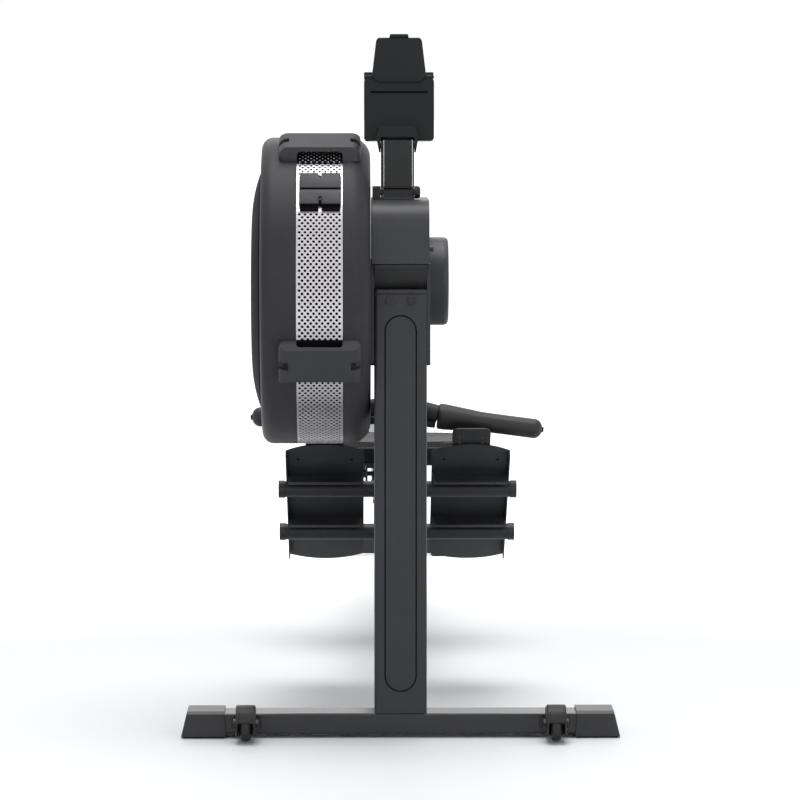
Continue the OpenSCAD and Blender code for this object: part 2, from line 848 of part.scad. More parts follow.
module pull_strap() {
    color(rubber) placed() translate([-strap_w / 2, guide_y + guide_r + 4, strap_z - strap_t])
        cube([strap_w, handle_y - handle_neck - guide_y - guide_r - 4, strap_t]);
}

// One half of the handle, drawn along +X
module handle_half(s) {
    rotate([0, s * handle_droop, 0]) mirror([s < 0 ? 1 : 0, 0, 0]) children();
}

module at_handle() {
    placed() translate([0, handle_y, strap_z]) rotate([0, handle_roll, 0]) children();
}

module handle_bar() {
    core_r = 9;
    color(plastic) at_handle() difference() {
        union() {
            for (s = [-1, 1]) handle_half(s) rod_x(core_r, 0, handle_l / 2 - 12);
            for (s = [-1, 1]) handle_half(s) rod_x(handle_core_r, 0, grip_gap - 0.1);
            translate([-17, -handle_neck, -7]) cube([34, handle_neck, 14]);
        }
        translate([-strap_w / 2 - 2, -handle_neck - 1, -3]) cube([strap_w + 4, 7, 6]);
    }
}

module handle_grips() {
    half = handle_l / 2;
    color(rubber) at_handle() for (s = [-1, 1]) handle_half(s) difference() {
        union() {
            translate([grip_gap, 0, 0]) rotate([0, 90, 0])
                cylinder(r1 = grip_r_in, r2 = grip_r, h = 60);
            rod_x(grip_r, grip_gap + 60, half - grip_r);
            translate([half - grip_r, 0, 0]) sphere(r = grip_r);
        }
        rod_x(9 + fit, grip_gap - 1, half - 11);
    }
}

module at_foot() {
    placed() translate([0, tube_y, tube_z]) rotate([-foot_slope, 0, 0]) children();
}

module rail() {
    color(metal) difference() {
        placed() {
            on_y(foot_d, base_l - 6) difference() {
                translate([-rail_w / 2, rail_z]) square([rail_w, rail_h]);
                translate([rail_wall - rail_w / 2, rail_z + rail_wall])
                    square([rail_w - 2 * rail_wall, rail_h - rail_wall - flange_t]);
            }
            for (s = [-1, 1]) on_y(stop_front - 10, base_l - 6)
                translate([s * (flange_w + rail_w - 2) / 4, rail_top_z - flange_t / 2])
                    square([(flange_w - rail_w) / 2 + 1, flange_t], center = true);
        }
        at_foot() translate([0, tube_gap, 0]) rod_x(tube_r + fit, -rail_w, rail_w);
    }
}

module rail_stops() {
    color(rubber) placed() {
        for (y = [stop_front, base_l - stop_rear]) translate([-flange_w / 2 + 4, y, rail_top_z])
            cube([flange_w - 8, stop_l, 16]);
        on_y(base_l - 6, base_l) translate([0, rail_z + rail_h / 2]) rounded(flange_w, rail_h, 5);
    }
}

module rear_leg() {
    color(steel) placed() translate([0, rear_y + foot_d / 2, foot_top_z])
        linear_extrude(rail_z - foot_top_z) difference() {
            rounded(rail_w, foot_d, 4);
            rounded(rail_w - 2 * tube_wall, foot_d - 2 * tube_wall, 2);
        }
}

// Two cheeks on the rail's sides, with bores for both cross tubes
module footrest_bracket() {
    x0 = rail_w / 2;
    low_y = tube_y + tube_gap * cos(foot_slope);
    low_z = tube_z - tube_gap * sin(foot_slope);
    color(steel) placed() mirrored() difference() {
        on_x(x0, x0 + bracket_t) {
            translate([tube_y, tube_z]) circle(r = 24);
            translate([low_y, low_z]) circle(r = 24);
            polygon([[tube_y - 24, tube_z], [tube_y - 24, rail_z + 8], [low_y, rail_z + 8],
                [low_y + 24, low_z], [tube_y + 24, tube_z]]);
        }
        translate([0, tube_y, tube_z]) rod_x(tube_r + fit, x0 - 1, x0 + bracket_t + 1);
        translate([0, low_y, low_z]) rod_x(tube_r + fit, x0 - 1, x0 + bracket_t + 1);
    }
}

module cross_tubes() {
    color(steel) at_foot() for (y = [0, tube_gap]) translate([0, y, 0]) {
        rod_x(tube_r, 10 - tube_l / 2, tube_l / 2 - 10);
        mirrored() rod_x(tube_r + 1, tube_l / 2 - 10, tube_l / 2);
    }
}

// The plate's outline between two arcs, in X and along the slope
module plate_outline() {
    top_r = 114;
    low_r = 136;
    mid = (foot_y0 + foot_y1) / 2;
    intersection() {
        translate([foot_x0, foot_y0 - 1]) square([foot_w, mid - foot_y0 + 1]);
        translate([foot_x, foot_y0 + top_r]) circle(r = top_r, $fn = 128);
    }
    intersection() {
        translate([foot_x0, mid]) square([foot_w, foot_y1 - mid]);
        translate([foot_x, foot_y1 - low_r]) circle(r = low_r, $fn = 128);
    }
}

module foot_plate() {
    color(steel) difference() {
        union() {
            translate([0, 0, plate_n]) linear_extrude(foot_t) plate_outline();
            translate([foot_x1 - 2, foot_y0 + 17, plate_n - foot_flange])
                cube([2, foot_y1 - foot_y0 - 17, foot_flange + foot_t]);
            for (y = [0, tube_gap]) translate([foot_x0 + 2, y - tube_r - 4, -4])
                cube([foot_w - 3, 3, plate_n + 5]);
        }
        for (y = [0, tube_gap]) translate([0, y, 0]) rod_x(tube_r + fit, foot_x0 - 5, foot_x1 + 5);
        for (s = [-1, 1], y = [-64, -30]) translate([foot_x + s * 41, y, plate_n - 1])
            cylinder(r = 2.6, h = foot_t + 2);
    }
}

module foot_plate_left() {
    at_foot() mirror([1, 0, 0]) foot_plate();
}

module foot_plate_right() {
    at_foot() foot_plate();
}

// A long plate with two rows of peg holes and a cup for the heel
module foot_holder() {
    y0 = foot_y0 - 41;
    y1 = foot_y1 - 56;
    t = 4;
    color(plastic) translate([foot_x, 0, holder_n]) difference() {
        union() {
            linear_extrude(t) {
                translate([0, (y0 + y1) / 2]) rounded(holder_w, y1 - y0, 12);
                translate([0, y1 - 20]) circle(r = 42);
            }
            linear_extrude(heel_h) intersection() {
                translate([0, y1 - 20]) ring(42, 38.5);
                translate([-50, y1 - 32]) square([100, 60]);
            }
        }
        for (s = [-1, 1], i = [0:8]) translate([s * 18, y0 + 12 + i * 12.5, -1]) cylinder(r = 2.3, h = t + 2);
    }
}

module foot_holder_left() {
    at_foot() mirror([1, 0, 0]) foot_holder();
}

module foot_holder_right() {
    at_foot() foot_holder();
}

// A webbing arch over each foot with its buckle, standing on the plate beside the holder
module foot_straps() {
    r = foot_w / 2 - 4;
    color(rubber) at_foot() mirrored() translate([foot_x, 20, plate_top_n]) {
        on_y(-foot_strap_w / 2, foot_strap_w / 2) intersection() {
            ring(r, r - 2.2);
            translate([-r, 0]) square([2 * r, r]);
        }
        rotate([0, 38, 0]) translate([-13, -foot_strap_w / 2 - 3, r - 0.5])
            cube([26, foot_strap_w + 6, 4]);
    }
}

module seat_carriage() {
    half = carriage_l / 2;
    z0 = lower_z - lower_roller_r - 4;
    color(steel) placed() translate([0, seat_y, 0]) {
        difference() {
            union() {
                mirrored() on_x(carriage_x, carriage_x + carriage_t)
                    polygon([[-half, carriage_top], [-half, upper_z - 12], [-30, z0], [30, z0],
                        [half, upper_z - 12], [half, carriage_top]]);
                translate([-carriage_x - carriage_t, -half, carriage_top - carriage_t])
                    cube([2 * (carriage_x + carriage_t), carriage_l, carriage_t]);
            }
            for (y = [20 - half, half - 20]) translate([0, y, upper_z])
                rod_x(roller_axle_r + fit, -carriage_x - 9, carriage_x + 9);
            translate([0, 0, lower_z]) rod_x(roller_axle_r + fit, -carriage_x - 9, carriage_x + 9);
        }
        for (y = [20 - half, half - 20]) translate([0, y, upper_z]) {
            rod_x(roller_axle_r, -carriage_x - carriage_t - 1, carriage_x + carriage_t + 1);
            mirrored() rod_x(7, carriage_x + carriage_t, carriage_x + carriage_t + 4);
        }
        mirrored() translate([0, 0, lower_z]) {
            rod_x(roller_axle_r, rail_w / 2 + 1, carriage_x + carriage_t + 1);
            rod_x(7, carriage_x + carriage_t, carriage_x + carriage_t + 4);
        }
    }
}

module roller(r, x0, x1) {
    turned() polygon([[roller_axle_r + run_fit, x0], [r - 1, x0], [r, x0 + 1], [r, x1 - 1],
        [r - 1, x1], [roller_axle_r + run_fit, x1]]);
}

module seat_rollers_front() {
    color(plastic) placed() translate([0, seat_y + 20 - carriage_l / 2, upper_z])
        mirrored() roller(roller_r, rail_w / 2 - 6, flange_w / 2 - 3);
}

module seat_rollers_rear() {
    color(plastic) placed() translate([0, seat_y + carriage_l / 2 - 20, upper_z])
        mirrored() roller(roller_r, rail_w / 2 - 6, flange_w / 2 - 3);
}

module seat_rollers_lower() {
    color(plastic) placed() translate([0, seat_y, lower_z])
        mirrored() roller(lower_roller_r, rail_w / 2 + 2.5, flange_w / 2 + 1);
}

module seat_pan() {
    color(plastic) placed() translate([0, seat_y, carriage_top]) linear_extrude(pan_t)
        rounded(seat_w * 0.8, seat_d * 0.8, 38);
}

cushion_n = 48;
// Share of the outline and share of the height of each ring of the cushion, from below
cushion_rings = [[0.86, 0], [0.96, 0.1], [1, 0.32], [1, 0.58], [0.97, 0.82], [0.9, 0.95], [0.78, 1],
    [0.55, 1], [0.28, 1]];

function corner_pow(v, p) = sign(v) * pow(abs(v), p);
function dish(k) = seat_dish * pow(1 - k, 0.8);
function cushion_point(a, ring) = [
    seat_w / 2 * ring[0] * corner_pow(cos(a), 0.62),
    seat_d / 2 * ring[0] * corner_pow(sin(a), 0.62) * (1 + 0.05 * sin(a)),
    ring[1] * seat_t + (ring[1] == 1 ? seat_dish * 0.25 - dish(ring[0]) : 0)
        + (ring[1] > 0.5 ? 3 * max(0, sin(a)) * ring[0] : 0)];

module seat_cushion() {
    n = cushion_n;
    m = len(cushion_rings);
    points = concat([for (ring = cushion_rings) for (i = [0:n - 1]) cushion_point(i * 360 / n, ring)],
        [[0, 0, 0]], [[0, 0, seat_t + seat_dish * 0.25 - dish(0)]]);
    sides = [for (k = [0:m - 2]) for (i = [0:n - 1]) each [
        [k * n + i, (k + 1) * n + i, (k + 1) * n + (i + 1) % n],
        [k * n + i, (k + 1) * n + (i + 1) % n, k * n + (i + 1) % n]]];
    ends = [for (i = [0:n - 1]) each [[m * n, i, (i + 1) % n],
        [m * n + 1, (m - 1) * n + (i + 1) % n, (m - 1) * n + i]]];
    color(rubber) placed() translate([0, seat_y, cushion_z]) polyhedron(points, concat(sides, ends));
}

// A barrel between the arm's ears, with a square block at its left end and a round one at its right
module arm_base() {
    seat = cover_top_z - arm_z;
    end = arm_w / 2 + 0.4;
    color(steel) placed() translate([arm_x, arm_y, arm_z]) {
        rod_x(hinge_r, 3.3 - arm_w / 2, arm_w / 2 - 3.3);
        on_x(3.3 - arm_w / 2, arm_w / 2 - 3.3) translate([-hinge_r, seat]) square([2 * hinge_r, -seat]);
        rod_x(pin_r, -end - 1, end + 1);
        on_x(-end - 12, -end) {
            rounded(2 * hinge_r, 2 * hinge_r, 3);
            translate([-hinge_r, seat]) square([2 * hinge_r, -seat]);
        }
        turned() polygon([[0, end], [hinge_r, end], [hinge_r, end + 6], [hinge_r - 2.5, end + 8.7],
            [0, end + 8.7]]);
    }
}

// A channel with ears over the base's barrel and a barrel of its own under the monitor
module monitor_arm() {
    z1 = arm_l - 13;
    color(steel) placed() translate([arm_x, arm_y, arm_z]) difference() {
        union() {
            on_y(-arm_d / 2, -arm_d / 2 + 3) translate([-arm_w / 2, 6.3]) square([arm_w, z1 - 6.3]);
            mirrored() on_x(arm_w / 2 - 3, arm_w / 2) {
                circle(r = hinge_r);
                translate([-hinge_r, 0]) square([arm_d / 2 + hinge_r, z1]);
                translate([-arm_d / 2, 6.3]) square([arm_d, z1 - 6.3]);
            }
            translate([-arm_w / 2, -arm_d / 2, z1 - 3]) cube([arm_w, arm_d, 3]);
            translate([0, 0, arm_l]) rod_x(hinge_r, -arm_w / 2, arm_w / 2);
            on_x(-arm_w / 2, arm_w / 2) translate([-5, z1 - 1]) square([10, 9]);
        }
        rod_x(pin_r + run_fit, -arm_w, arm_w);
        translate([0, 0, arm_l]) rod_x(pin_r + run_fit, -arm_w, arm_w);
    }
}

module at_monitor() {
    placed() translate([arm_x, arm_y, arm_z + arm_l]) rotate([-monitor_tilt, 0, 0]) children();
}

module at_case() {
    at_monitor() translate([case_x, 0, 0]) children();
}

// A bracket that straddles the arm's top barrel
module case_bracket() {
    ear_x = arm_w / 2 + 0.4;
    top = 27;
    mirrored() intersection() {
        on_x(ear_x, ear_x + 6) {
            circle(r = hinge_r + 1);
            translate([-hinge_r - 1, 0]) square([case_n + hinge_r + 2, top]);
        }
        on_y(-hinge_r - 2, case_n + 2) polygon([[ear_x, -hinge_r - 2], [ear_x + 2, -hinge_r - 2],
            [ear_x + 4.5, 3], [ear_x + 6, hinge_r + 4], [ear_x + 1.5, top], [ear_x, top]]);
    }
    translate([-ear_x, -hinge_r - 1, hinge_r + 3]) cube([2 * ear_x, case_n + hinge_r + 2, top - hinge_r - 3]);
    rod_x(pin_r, -ear_x - 1, ear_x + 1);
}

// Case with a groove across its back and a recess for the screen
module monitor_case() {
    color(plastic) {
        at_case() difference() {
            on_y(case_n, case_n + case_d) translate([0, case_w0 + case_h / 2]) rounded(case_w, case_h, 5);
            on_y(case_n - 1, case_n + 2) translate([0, case_w0 + case_h - 20])
                square([case_w * 0.82, 3], center = true);
            on_y(case_n + case_d - screen_t - fit, case_n + case_d + 1)
                translate([0, case_w0 + case_h / 2 + 11]) rounded(case_w - 18 + 2 * fit, case_h - 36 + 2 * fit, 3);
            for (i = [-1:1]) translate([i * 26, case_n + case_d - 6, case_w0 + 14]) rotate([-90, 0, 0])
                cylinder(r = button_r + gap, h = 8);
        }
        at_monitor() case_bracket();
    }
}

module monitor_screen() {
    color("#10151a") at_case() on_y(case_n + case_d - screen_t, case_n + case_d)
        translate([0, case_w0 + case_h / 2 + 11]) rounded(case_w - 18, case_h - 36, 3);
}

module button(i) {
    color("#55575a") at_case() translate([i * 26, case_n + case_d - 6 + button_travel + gap, case_w0 + 14])
        rotate([-90, 0, 0]) cylinder(r = button_r, h = 7);
}

module button_left() {
    button(-1);
}

module button_middle() {
    button(0);
}

module button_right() {
    button(1);
}

// Tapered back plate above the case, with the shelf that a phone stands on
module phone_holder() {
    z0 = case_w0 + case_h;
    color(plastic) at_case() difference() {
        union() {
            on_y(case_n - 4, case_n + 8) polygon([[-41, z0 - 5], [-42, z0 + 4], [-33, z0 + holder_h - 4],
                [-30, z0 + holder_h], [30, z0 + holder_h], [33, z0 + holder_h - 4], [42, z0 + 4],
                [41, z0 - 5]]);
            translate([-case_w / 2, case_n, z0]) cube([case_w, case_d + 14, 5]);
            translate([-case_w / 2, case_n + case_d + 10, z0]) cube([case_w, 4, 12]);
        }
        translate([-case_w, case_n, z0 - 20]) cube([2 * case_w, case_d, 20]);
        translate([-10 - gap, case_n - gap, z0 + 12]) cube([20 + 2 * gap, 4 + 2 * gap, holder_h]);
    }
}

module phone_clamp() {
    z0 = case_w0 + case_h;
    color(plastic) at_case() {
        translate([-10, case_n, z0 + 12 + gap]) cube([20, 4, holder_h - 11]);
        on_y(case_n - 4, case_n + 22) polygon([[-14, z0 + holder_h + gap], [14, z0 + holder_h + gap],
            [13, z0 + holder_h + 5], [-13, z0 + holder_h + 5]]);
        translate([-12, case_n + 18, z0 + holder_h - 6]) cube([24, 4, 8]);
    }
}

front_foot();
rear_foot();
foot_end_caps();
foot_pads();
wheel_brackets();
wheel_bolts();
wheel_left();
wheel_right();
post();
head_bracket();
frame_bolts();
side_plate_left();
side_plate_right();
shaft_bearings();
fan_shaft();
fan_wheel();
strap_spool();
recoil_spring();
spring_housing();
drive_cover();
lower_cover();
drum_shell_left();
drum_shell_right();
drum_side_cover();
drum_band();
drum_bridges();
band_clamp();
damper_dial();
damper_shutter();
strap_guide();
guide_roller();
strap_lead();
pull_strap();
handle_bar();
handle_grips();
rail();
rail_stops();
rear_leg();
footrest_bracket();
cross_tubes();
foot_plate_left();
foot_plate_right();
foot_holder_left();
foot_holder_right();
foot_straps();
seat_carriage();
seat_rollers_front();
seat_rollers_rear();
seat_rollers_lower();
seat_pan();
seat_cushion();
arm_base();
monitor_arm();
monitor_case();
monitor_screen();
button_left();
button_middle();
button_right();
phone_holder();
phone_clamp();
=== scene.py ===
import bmesh
import bpy
import math
from mathutils import Matrix, Vector


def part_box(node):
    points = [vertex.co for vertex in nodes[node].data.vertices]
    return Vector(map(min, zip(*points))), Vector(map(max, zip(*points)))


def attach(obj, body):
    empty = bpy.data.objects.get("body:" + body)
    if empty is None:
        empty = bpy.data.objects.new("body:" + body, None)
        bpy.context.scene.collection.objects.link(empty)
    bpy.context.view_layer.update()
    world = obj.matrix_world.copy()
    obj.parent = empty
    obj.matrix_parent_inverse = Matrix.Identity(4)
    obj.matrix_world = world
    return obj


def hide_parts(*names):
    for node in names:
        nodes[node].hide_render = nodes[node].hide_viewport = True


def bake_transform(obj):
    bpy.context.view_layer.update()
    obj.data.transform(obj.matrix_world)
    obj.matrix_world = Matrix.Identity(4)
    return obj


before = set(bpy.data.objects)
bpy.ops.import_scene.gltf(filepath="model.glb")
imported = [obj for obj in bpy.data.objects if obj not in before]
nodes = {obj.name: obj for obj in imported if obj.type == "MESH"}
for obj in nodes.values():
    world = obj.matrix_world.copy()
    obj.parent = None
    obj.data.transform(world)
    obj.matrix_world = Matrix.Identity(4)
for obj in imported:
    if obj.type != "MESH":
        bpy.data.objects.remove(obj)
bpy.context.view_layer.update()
scene = bpy.context.scene
mm = 0.001
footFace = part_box("front_foot")[0].y  # front face of the front foot, from which y is counted


# a place in millimetres: across, back from the front foot, up
def at(x, y, z):
    return Vector((x * mm, footFace + y * mm, z * mm))


def deselect():
    if bpy.context.object and bpy.context.object.mode != "OBJECT":
        bpy.ops.object.mode_set(mode="OBJECT")
    bpy.ops.object.select_all(action="DESELECT")


def only(*objects):
    deselect()
    for obj in objects:
        obj.select_set(True)
    bpy.context.view_layer.objects.active = objects[0]


def named(name):
    obj = bpy.context.object
    obj.name = obj.data.name = name
    return obj


def modify(obj, kind, **values):
    only(obj)
    modifier = obj.modifiers.new(kind, kind)
    for key, value in values.items():
        setattr(modifier, key, value)
    bpy.ops.object.modifier_apply(modifier=modifier.name)
    return obj


def bevelled(obj, width, segments=3, limit=30):
    if width:
        modify(obj, "BEVEL", width=width * mm, segments=segments, limit_method="ANGLE",
               angle_limit=math.radians(limit))
    return obj


def joined(name, objects):
    only(*objects)
    bpy.ops.object.join()
    return named(name)


# cuts one piece with another, which goes away
def cutOut(obj, tool, way="DIFFERENCE"):
    modify(obj, "BOOLEAN", operation=way, object=tool, solver="EXACT")
    bpy.data.objects.remove(tool)


def meshTask(obj, task):
    only(obj)
    bpy.ops.object.mode_set(mode="EDIT")
    task(bmesh.from_edit_mesh(obj.data))
    bpy.ops.object.mode_set(mode="OBJECT")
    return obj


# merges what lies closer than a distance in millimetres, and turns the faces outwards
def closeUp(distance, turned=True):
    bpy.ops.mesh.select_all(action="SELECT")
    bpy.ops.mesh.remove_doubles(threshold=distance * mm)
    if turned:
        bpy.ops.mesh.normals_make_consistent(inside=False)


# a box between two corners in millimetres
def slab(name, low, high, bevel=1.0):
    low, high = at(*low), at(*high)
    deselect()
    bpy.ops.mesh.primitive_cube_add(size=1, location=(low + high) / 2)
    obj = named(name)
    obj.scale = high - low
    only(obj)
    bpy.ops.object.transform_apply(location=True, rotation=True, scale=True)
    return bevelled(obj, bevel)


# a profile of (radius, distance along) in millimetres, spun round an axis through a point
def lathe(name, profile, centre, axis=(1, 0, 0), steps=64):
    direction = Vector(axis).normalized()
    side = direction.orthogonal().normalized()
    deselect()
    bpy.ops.mesh.primitive_plane_add(size=1, location=(0, 0, 0))
    obj = named(name)

    def task(mesh):
        bmesh.ops.delete(mesh, geom=mesh.verts[:], context="VERTS")
        made = [mesh.verts.new(centre + side * r * mm + direction * a * mm) for r, a in profile]
        for first, second in zip(made, made[1:]):
            mesh.edges.new((first, second))
        bmesh.update_edit_mesh(obj.data)
        bpy.ops.mesh.select_all(action="SELECT")
        bpy.ops.mesh.spin(steps=steps, angle=math.tau, center=centre, axis=direction)
        closeUp(0.005)

    return meshTask(obj, task)


# the profile of a plain round bar
def rod(radius, low, high):
    return [(0, low), (radius, low), (radius, high), (0, high)]


# a stretch of a circle as points of an outline
def arc(across, up, radius, first, last, steps=8):
    angles = [math.radians(first + (last - first) * i / steps) for i in range(steps + 1)]
    return [(across + radius * math.cos(a), up + radius * math.sin(a)) for a in angles]


# a stretch of a ring between two radii
def ringPart(across, up, outer, inner, first, last, steps):
    return arc(across, up, outer, first, last, steps) + arc(across, up, inner, last, first, steps)


def roundedBox(across, up, width, height, radius, steps=5):
    w, h = width / 2 - radius, height / 2 - radius
    corners = [(w, h, 0), (-w, h, 90), (-w, -h, 180), (w, -h, 270)]
    return [p for x, y, a in corners for p in arc(across + x, up + y, radius, a, a + 90, steps)]


# an outline in millimetres on the plane across an axis, drawn out along that axis
def prism(name, outline, axis, low, high, bevel=0.0, segments=3, limit=30):
    spread = {"x": lambda a, b, t: at(t, a, b), "y": lambda a, b, t: at(a, t, b),
              "z": lambda a, b, t: at(a, b, t)}[axis]
    deselect()
    bpy.ops.mesh.primitive_circle_add(vertices=len(outline), fill_type="NGON")
    obj = named(name)
    for v, (a, b) in zip(obj.data.vertices, outline):
        v.co = spread(a, b, low)
    rise = spread(0, 0, high) - spread(0, 0, low)

    def draw(mesh):
        bpy.ops.mesh.select_all(action="SELECT")
        bpy.ops.mesh.extrude_region_move(TRANSFORM_OT_translate={"value": rise})
        bpy.ops.mesh.select_all(action="SELECT")
        bpy.ops.mesh.normals_make_consistent(inside=False)

    return bevelled(meshTask(obj, draw), bevel, segments, limit)


def turn(obj, degrees, axis, about):
    spin = Matrix.Rotation(math.radians(degrees), 4, axis)
    obj.data.transform(Matrix.Translation(about) @ spin @ Matrix.Translation(-about))
    return obj


def copied(obj):
    twin = obj.copy()
    twin.data = obj.data.copy()
    scene.collection.objects.link(twin)
    return twin


def bothSides(obj):
    twin = copied(obj)
    twin.data.transform(Matrix.Scale(-1, 4, (1, 0, 0)))
    twin.data.flip_normals()
    return [obj, twin]


# carries what is modelled flat to a place in millimetres, where it leans by so many degrees
def leaning(place, degrees):
    return (Matrix.Translation(at(*place)) @ Matrix.Rotation(math.radians(degrees), 4, "X")
            @ Matrix.Translation(-at(0, 0, 0)))


def carry(objects, where):
    for obj in objects:
        obj.data.transform(where)


# shader nodes: an input is linked to a socket, or set to a value
def feed(tree, node, inputs):
    for key, source in inputs.items():
        if hasattr(source, "links"):
            tree.links.new(source, node.inputs[key])
        else:
            node.inputs[key].default_value = source
    return node


def add(tree, kind, inputs=None, **values):
    node = tree.nodes.new(kind)
    for key, value in values.items():
        setattr(node, key, value)
    return feed(tree, node, inputs or {}).outputs


def maths(tree, operation, *values):
    return add(tree, "ShaderNodeMath", dict(enumerate(values)), operation=operation)[0]


def ranged(tree, value, start=0.0, end=1.0, low=0.0, high=1.0, **values):
    return add(tree, "ShaderNodeMapRange", {"Value": value, "From Min": start, "From Max": end,
                                            "To Min": low, "To Max": high}, **values)[0]


def blended(tree, share, first, second):
    return add(tree, "ShaderNodeMix", {"Factor": share, 6: first, 7: second}, data_type="RGBA")[2]


def noise(tree, where, scale, detail, roughness=0.5):
    return add(tree, "ShaderNodeTexNoise", {"Vector": where, "Scale": scale, "Detail": detail,
                                            "Roughness": roughness})["Fac"]


# camera
view = {"lens": 180.92, "sensor": 36, "place": at(-70.56, -5781.1, 915.2), "down": 4.188, "aside": 0.690,
        "reach": 1000}
deselect()
bpy.ops.object.camera_add(location=view["place"])
camera = bpy.context.object
camera.name = "camera"
camera.rotation_euler = (math.radians(90 - view["down"]), 0, math.radians(-view["aside"]))
camera.data.lens = view["lens"]
camera.data.sensor_width = view["sensor"]
camera.data.clip_end = view["reach"]
scene.camera = camera
scene.view_settings.view_transform = "Standard"

# floor, lamps and background: the floor glows from near to far, counted from its heart
studio = {"floor": 500.0, "white": 1.0, "dome": 0.50, "glowNear": 0.0, "glowFar": 0.8, "near": 0.95,
          "far": 2.4, "heart": (0, -1.0, 0), "floorTone": (0.80, 0.81, 0.82, 1), "floorRough": 0.55,
          "floorGloss": 0.25}
lamps = {  # place, aim, power, width and height
    "lampAbove": ((0.05, -0.9, 3.7), (0, -0.8, 0.4), 102, 2.2, 2.6),
    "lampLeft": ((-1.4, -4.8, 2.1), (0, -0.9, 0.5), 17, 1.6, 2.4),
    "lampRight": ((1.8, -4.4, 1.9), (0, -0.9, 0.5), 18, 1.4, 2.4),
    "lampBehind": ((-0.3, 3.4, 2.8), (0, 0, 0.4), 20, 2.4, 1.6),
}
deselect()
for name, (place, aim, power, width, height) in lamps.items():
    bpy.ops.object.light_add(type="AREA", location=place)
    lamp = bpy.context.object
    lamp.name = name
    lamp.data.shape = "RECTANGLE"
    lamp.data.size, lamp.data.size_y = width, height
    lamp.data.energy = power
    lamp.rotation_euler = (Vector(aim) - Vector(place)).to_track_quat("-Z", "Y").to_euler()

world = bpy.data.worlds.new("studio")
scene.world = world
world.use_nodes = True
tree = world.node_tree
path = add(tree, "ShaderNodeLightPath")
seen = maths(tree, "MAXIMUM", path["Is Camera Ray"], path["Is Transmission Ray"])
seen = maths(tree, "MAXIMUM", seen, path["Is Glossy Ray"])
brightness = ranged(tree, seen, low=studio["dome"], high=studio["white"])
feed(tree, tree.nodes["Background"], {"Color": (1, 1, 1, 1), "Strength": brightness})

bpy.ops.mesh.primitive_plane_add(size=studio["floor"], location=(0, 0, 0))
floor = named("floor")

# pale floor that keeps a soft shadow and looks white to the camera
pale = bpy.data.materials.new("paleFloor")
pale.use_nodes = True
tree = pale.node_tree
path = add(tree, "ShaderNodeLightPath")
glow = maths(tree, "MAXIMUM", path["Is Camera Ray"], path["Is Glossy Ray"])
away = add(tree, "ShaderNodeVectorMath", {0: add(tree, "ShaderNodeTexCoord")["Object"], 1: studio["heart"]},
           operation="DISTANCE")["Value"]
fading = ranged(tree, away, studio["near"], studio["far"], studio["glowNear"], studio["glowFar"],
                interpolation_type="SMOOTHSTEP")
feed(tree, tree.nodes["Principled BSDF"], {
    "Base Color": studio["floorTone"], "Roughness": studio["floorRough"],
    "Specular IOR Level": studio["floorGloss"], "Emission Color": (1, 1, 1, 1),
    "Emission Strength": maths(tree, "MULTIPLY", glow, fading)})
floor.data.materials.append(pale)
print("studio ready")


# a node group that takes a place and the given inputs: its tree, its inputs and its end
def group(name, inputs, outputs):
    tree = bpy.data.node_groups.new(name, "ShaderNodeTree")
    for label, kind, value in [("Vector", vector, None)] + inputs:
        socket = tree.interface.new_socket(name=label, in_out="INPUT", socket_type=kind)
        if value is not None:
            socket.default_value = value
    for label, kind in outputs.items():
        tree.interface.new_socket(name=label, in_out="OUTPUT", socket_type=kind)
    return tree, tree.nodes.new("NodeGroupInput").outputs, tree.nodes.new("NodeGroupOutput")


number, colour, vector = "NodeSocketFloat", "NodeSocketColor", "NodeSocketVector"
black = (0, 0, 0, 1)
skin = {"relief": 0.0006, "coatRough": 0.04, "shadeBetweenThreads": 0.55, "corner": 0.0011,
        "rubbedAndLit": (0.995, 0.86), "broken": (0.4, 0.65)}  # what all finishes share


# slow changes of tone from handling and moulding
def toneGroup():
    sockets = [("Scale", number, 14.0), ("Base", colour, black), ("Worn", colour, black),
               ("Low", number, 0.35), ("High", number, 0.75)]
    tree, given, end = group("toneDrift", sockets, {"Color": colour, "Mask": number})
    broad = noise(tree, given["Vector"], given["Scale"], 5.0, 0.62)
    mask = ranged(tree, broad, given["Low"], given["High"])
    feed(tree, end, {"Color": blended(tree, mask, given["Base"], given["Worn"]), "Mask": mask})
    return tree


# the pitted skin of a moulded or powder-coated surface
def grainGroup():
    tree, given, end = group("fineGrain", [("Scale", number, 900.0), ("Cells", number, 0.4)],
                             {"Height": number})
    speckle = noise(tree, given["Vector"], given["Scale"], 3.0, 0.55)
    pits = add(tree, "ShaderNodeTexVoronoi", {"Vector": given["Vector"], "Scale": given["Scale"]})
    feed(tree, end, {"Height": add(tree, "ShaderNodeMix", {"Factor": given["Cells"], 2: speckle,
                                                           3: pits["Distance"]})[0]})
    return tree


# rounds sharp corners for the light and finds the edges that take a lighter tone: partly where hands and feet
# rub them, partly a painted highlight of the light that edges catch
def edgeGroup():
    tree, given, end = group("softEdgeWornAndLit", [("Scale", number, 60.0), ("Amount", number, 0.5)],
                             {"Mask": number, "Normal": vector})
    bevel = add(tree, "ShaderNodeBevel", {"Radius": skin["corner"]}, samples=4)[0]
    flat = add(tree, "ShaderNodeNewGeometry")["Normal"]
    facing = add(tree, "ShaderNodeVectorMath", {0: bevel, 1: flat}, operation="DOT_PRODUCT")["Value"]
    edge = ranged(tree, facing, *skin["rubbedAndLit"])
    broken = ranged(tree, noise(tree, given["Vector"], given["Scale"], 4.0), *skin["broken"])
    mask = maths(tree, "MULTIPLY", maths(tree, "MULTIPLY", edge, broken), given["Amount"])
    feed(tree, end, {"Mask": mask, "Normal": bevel})
    return tree


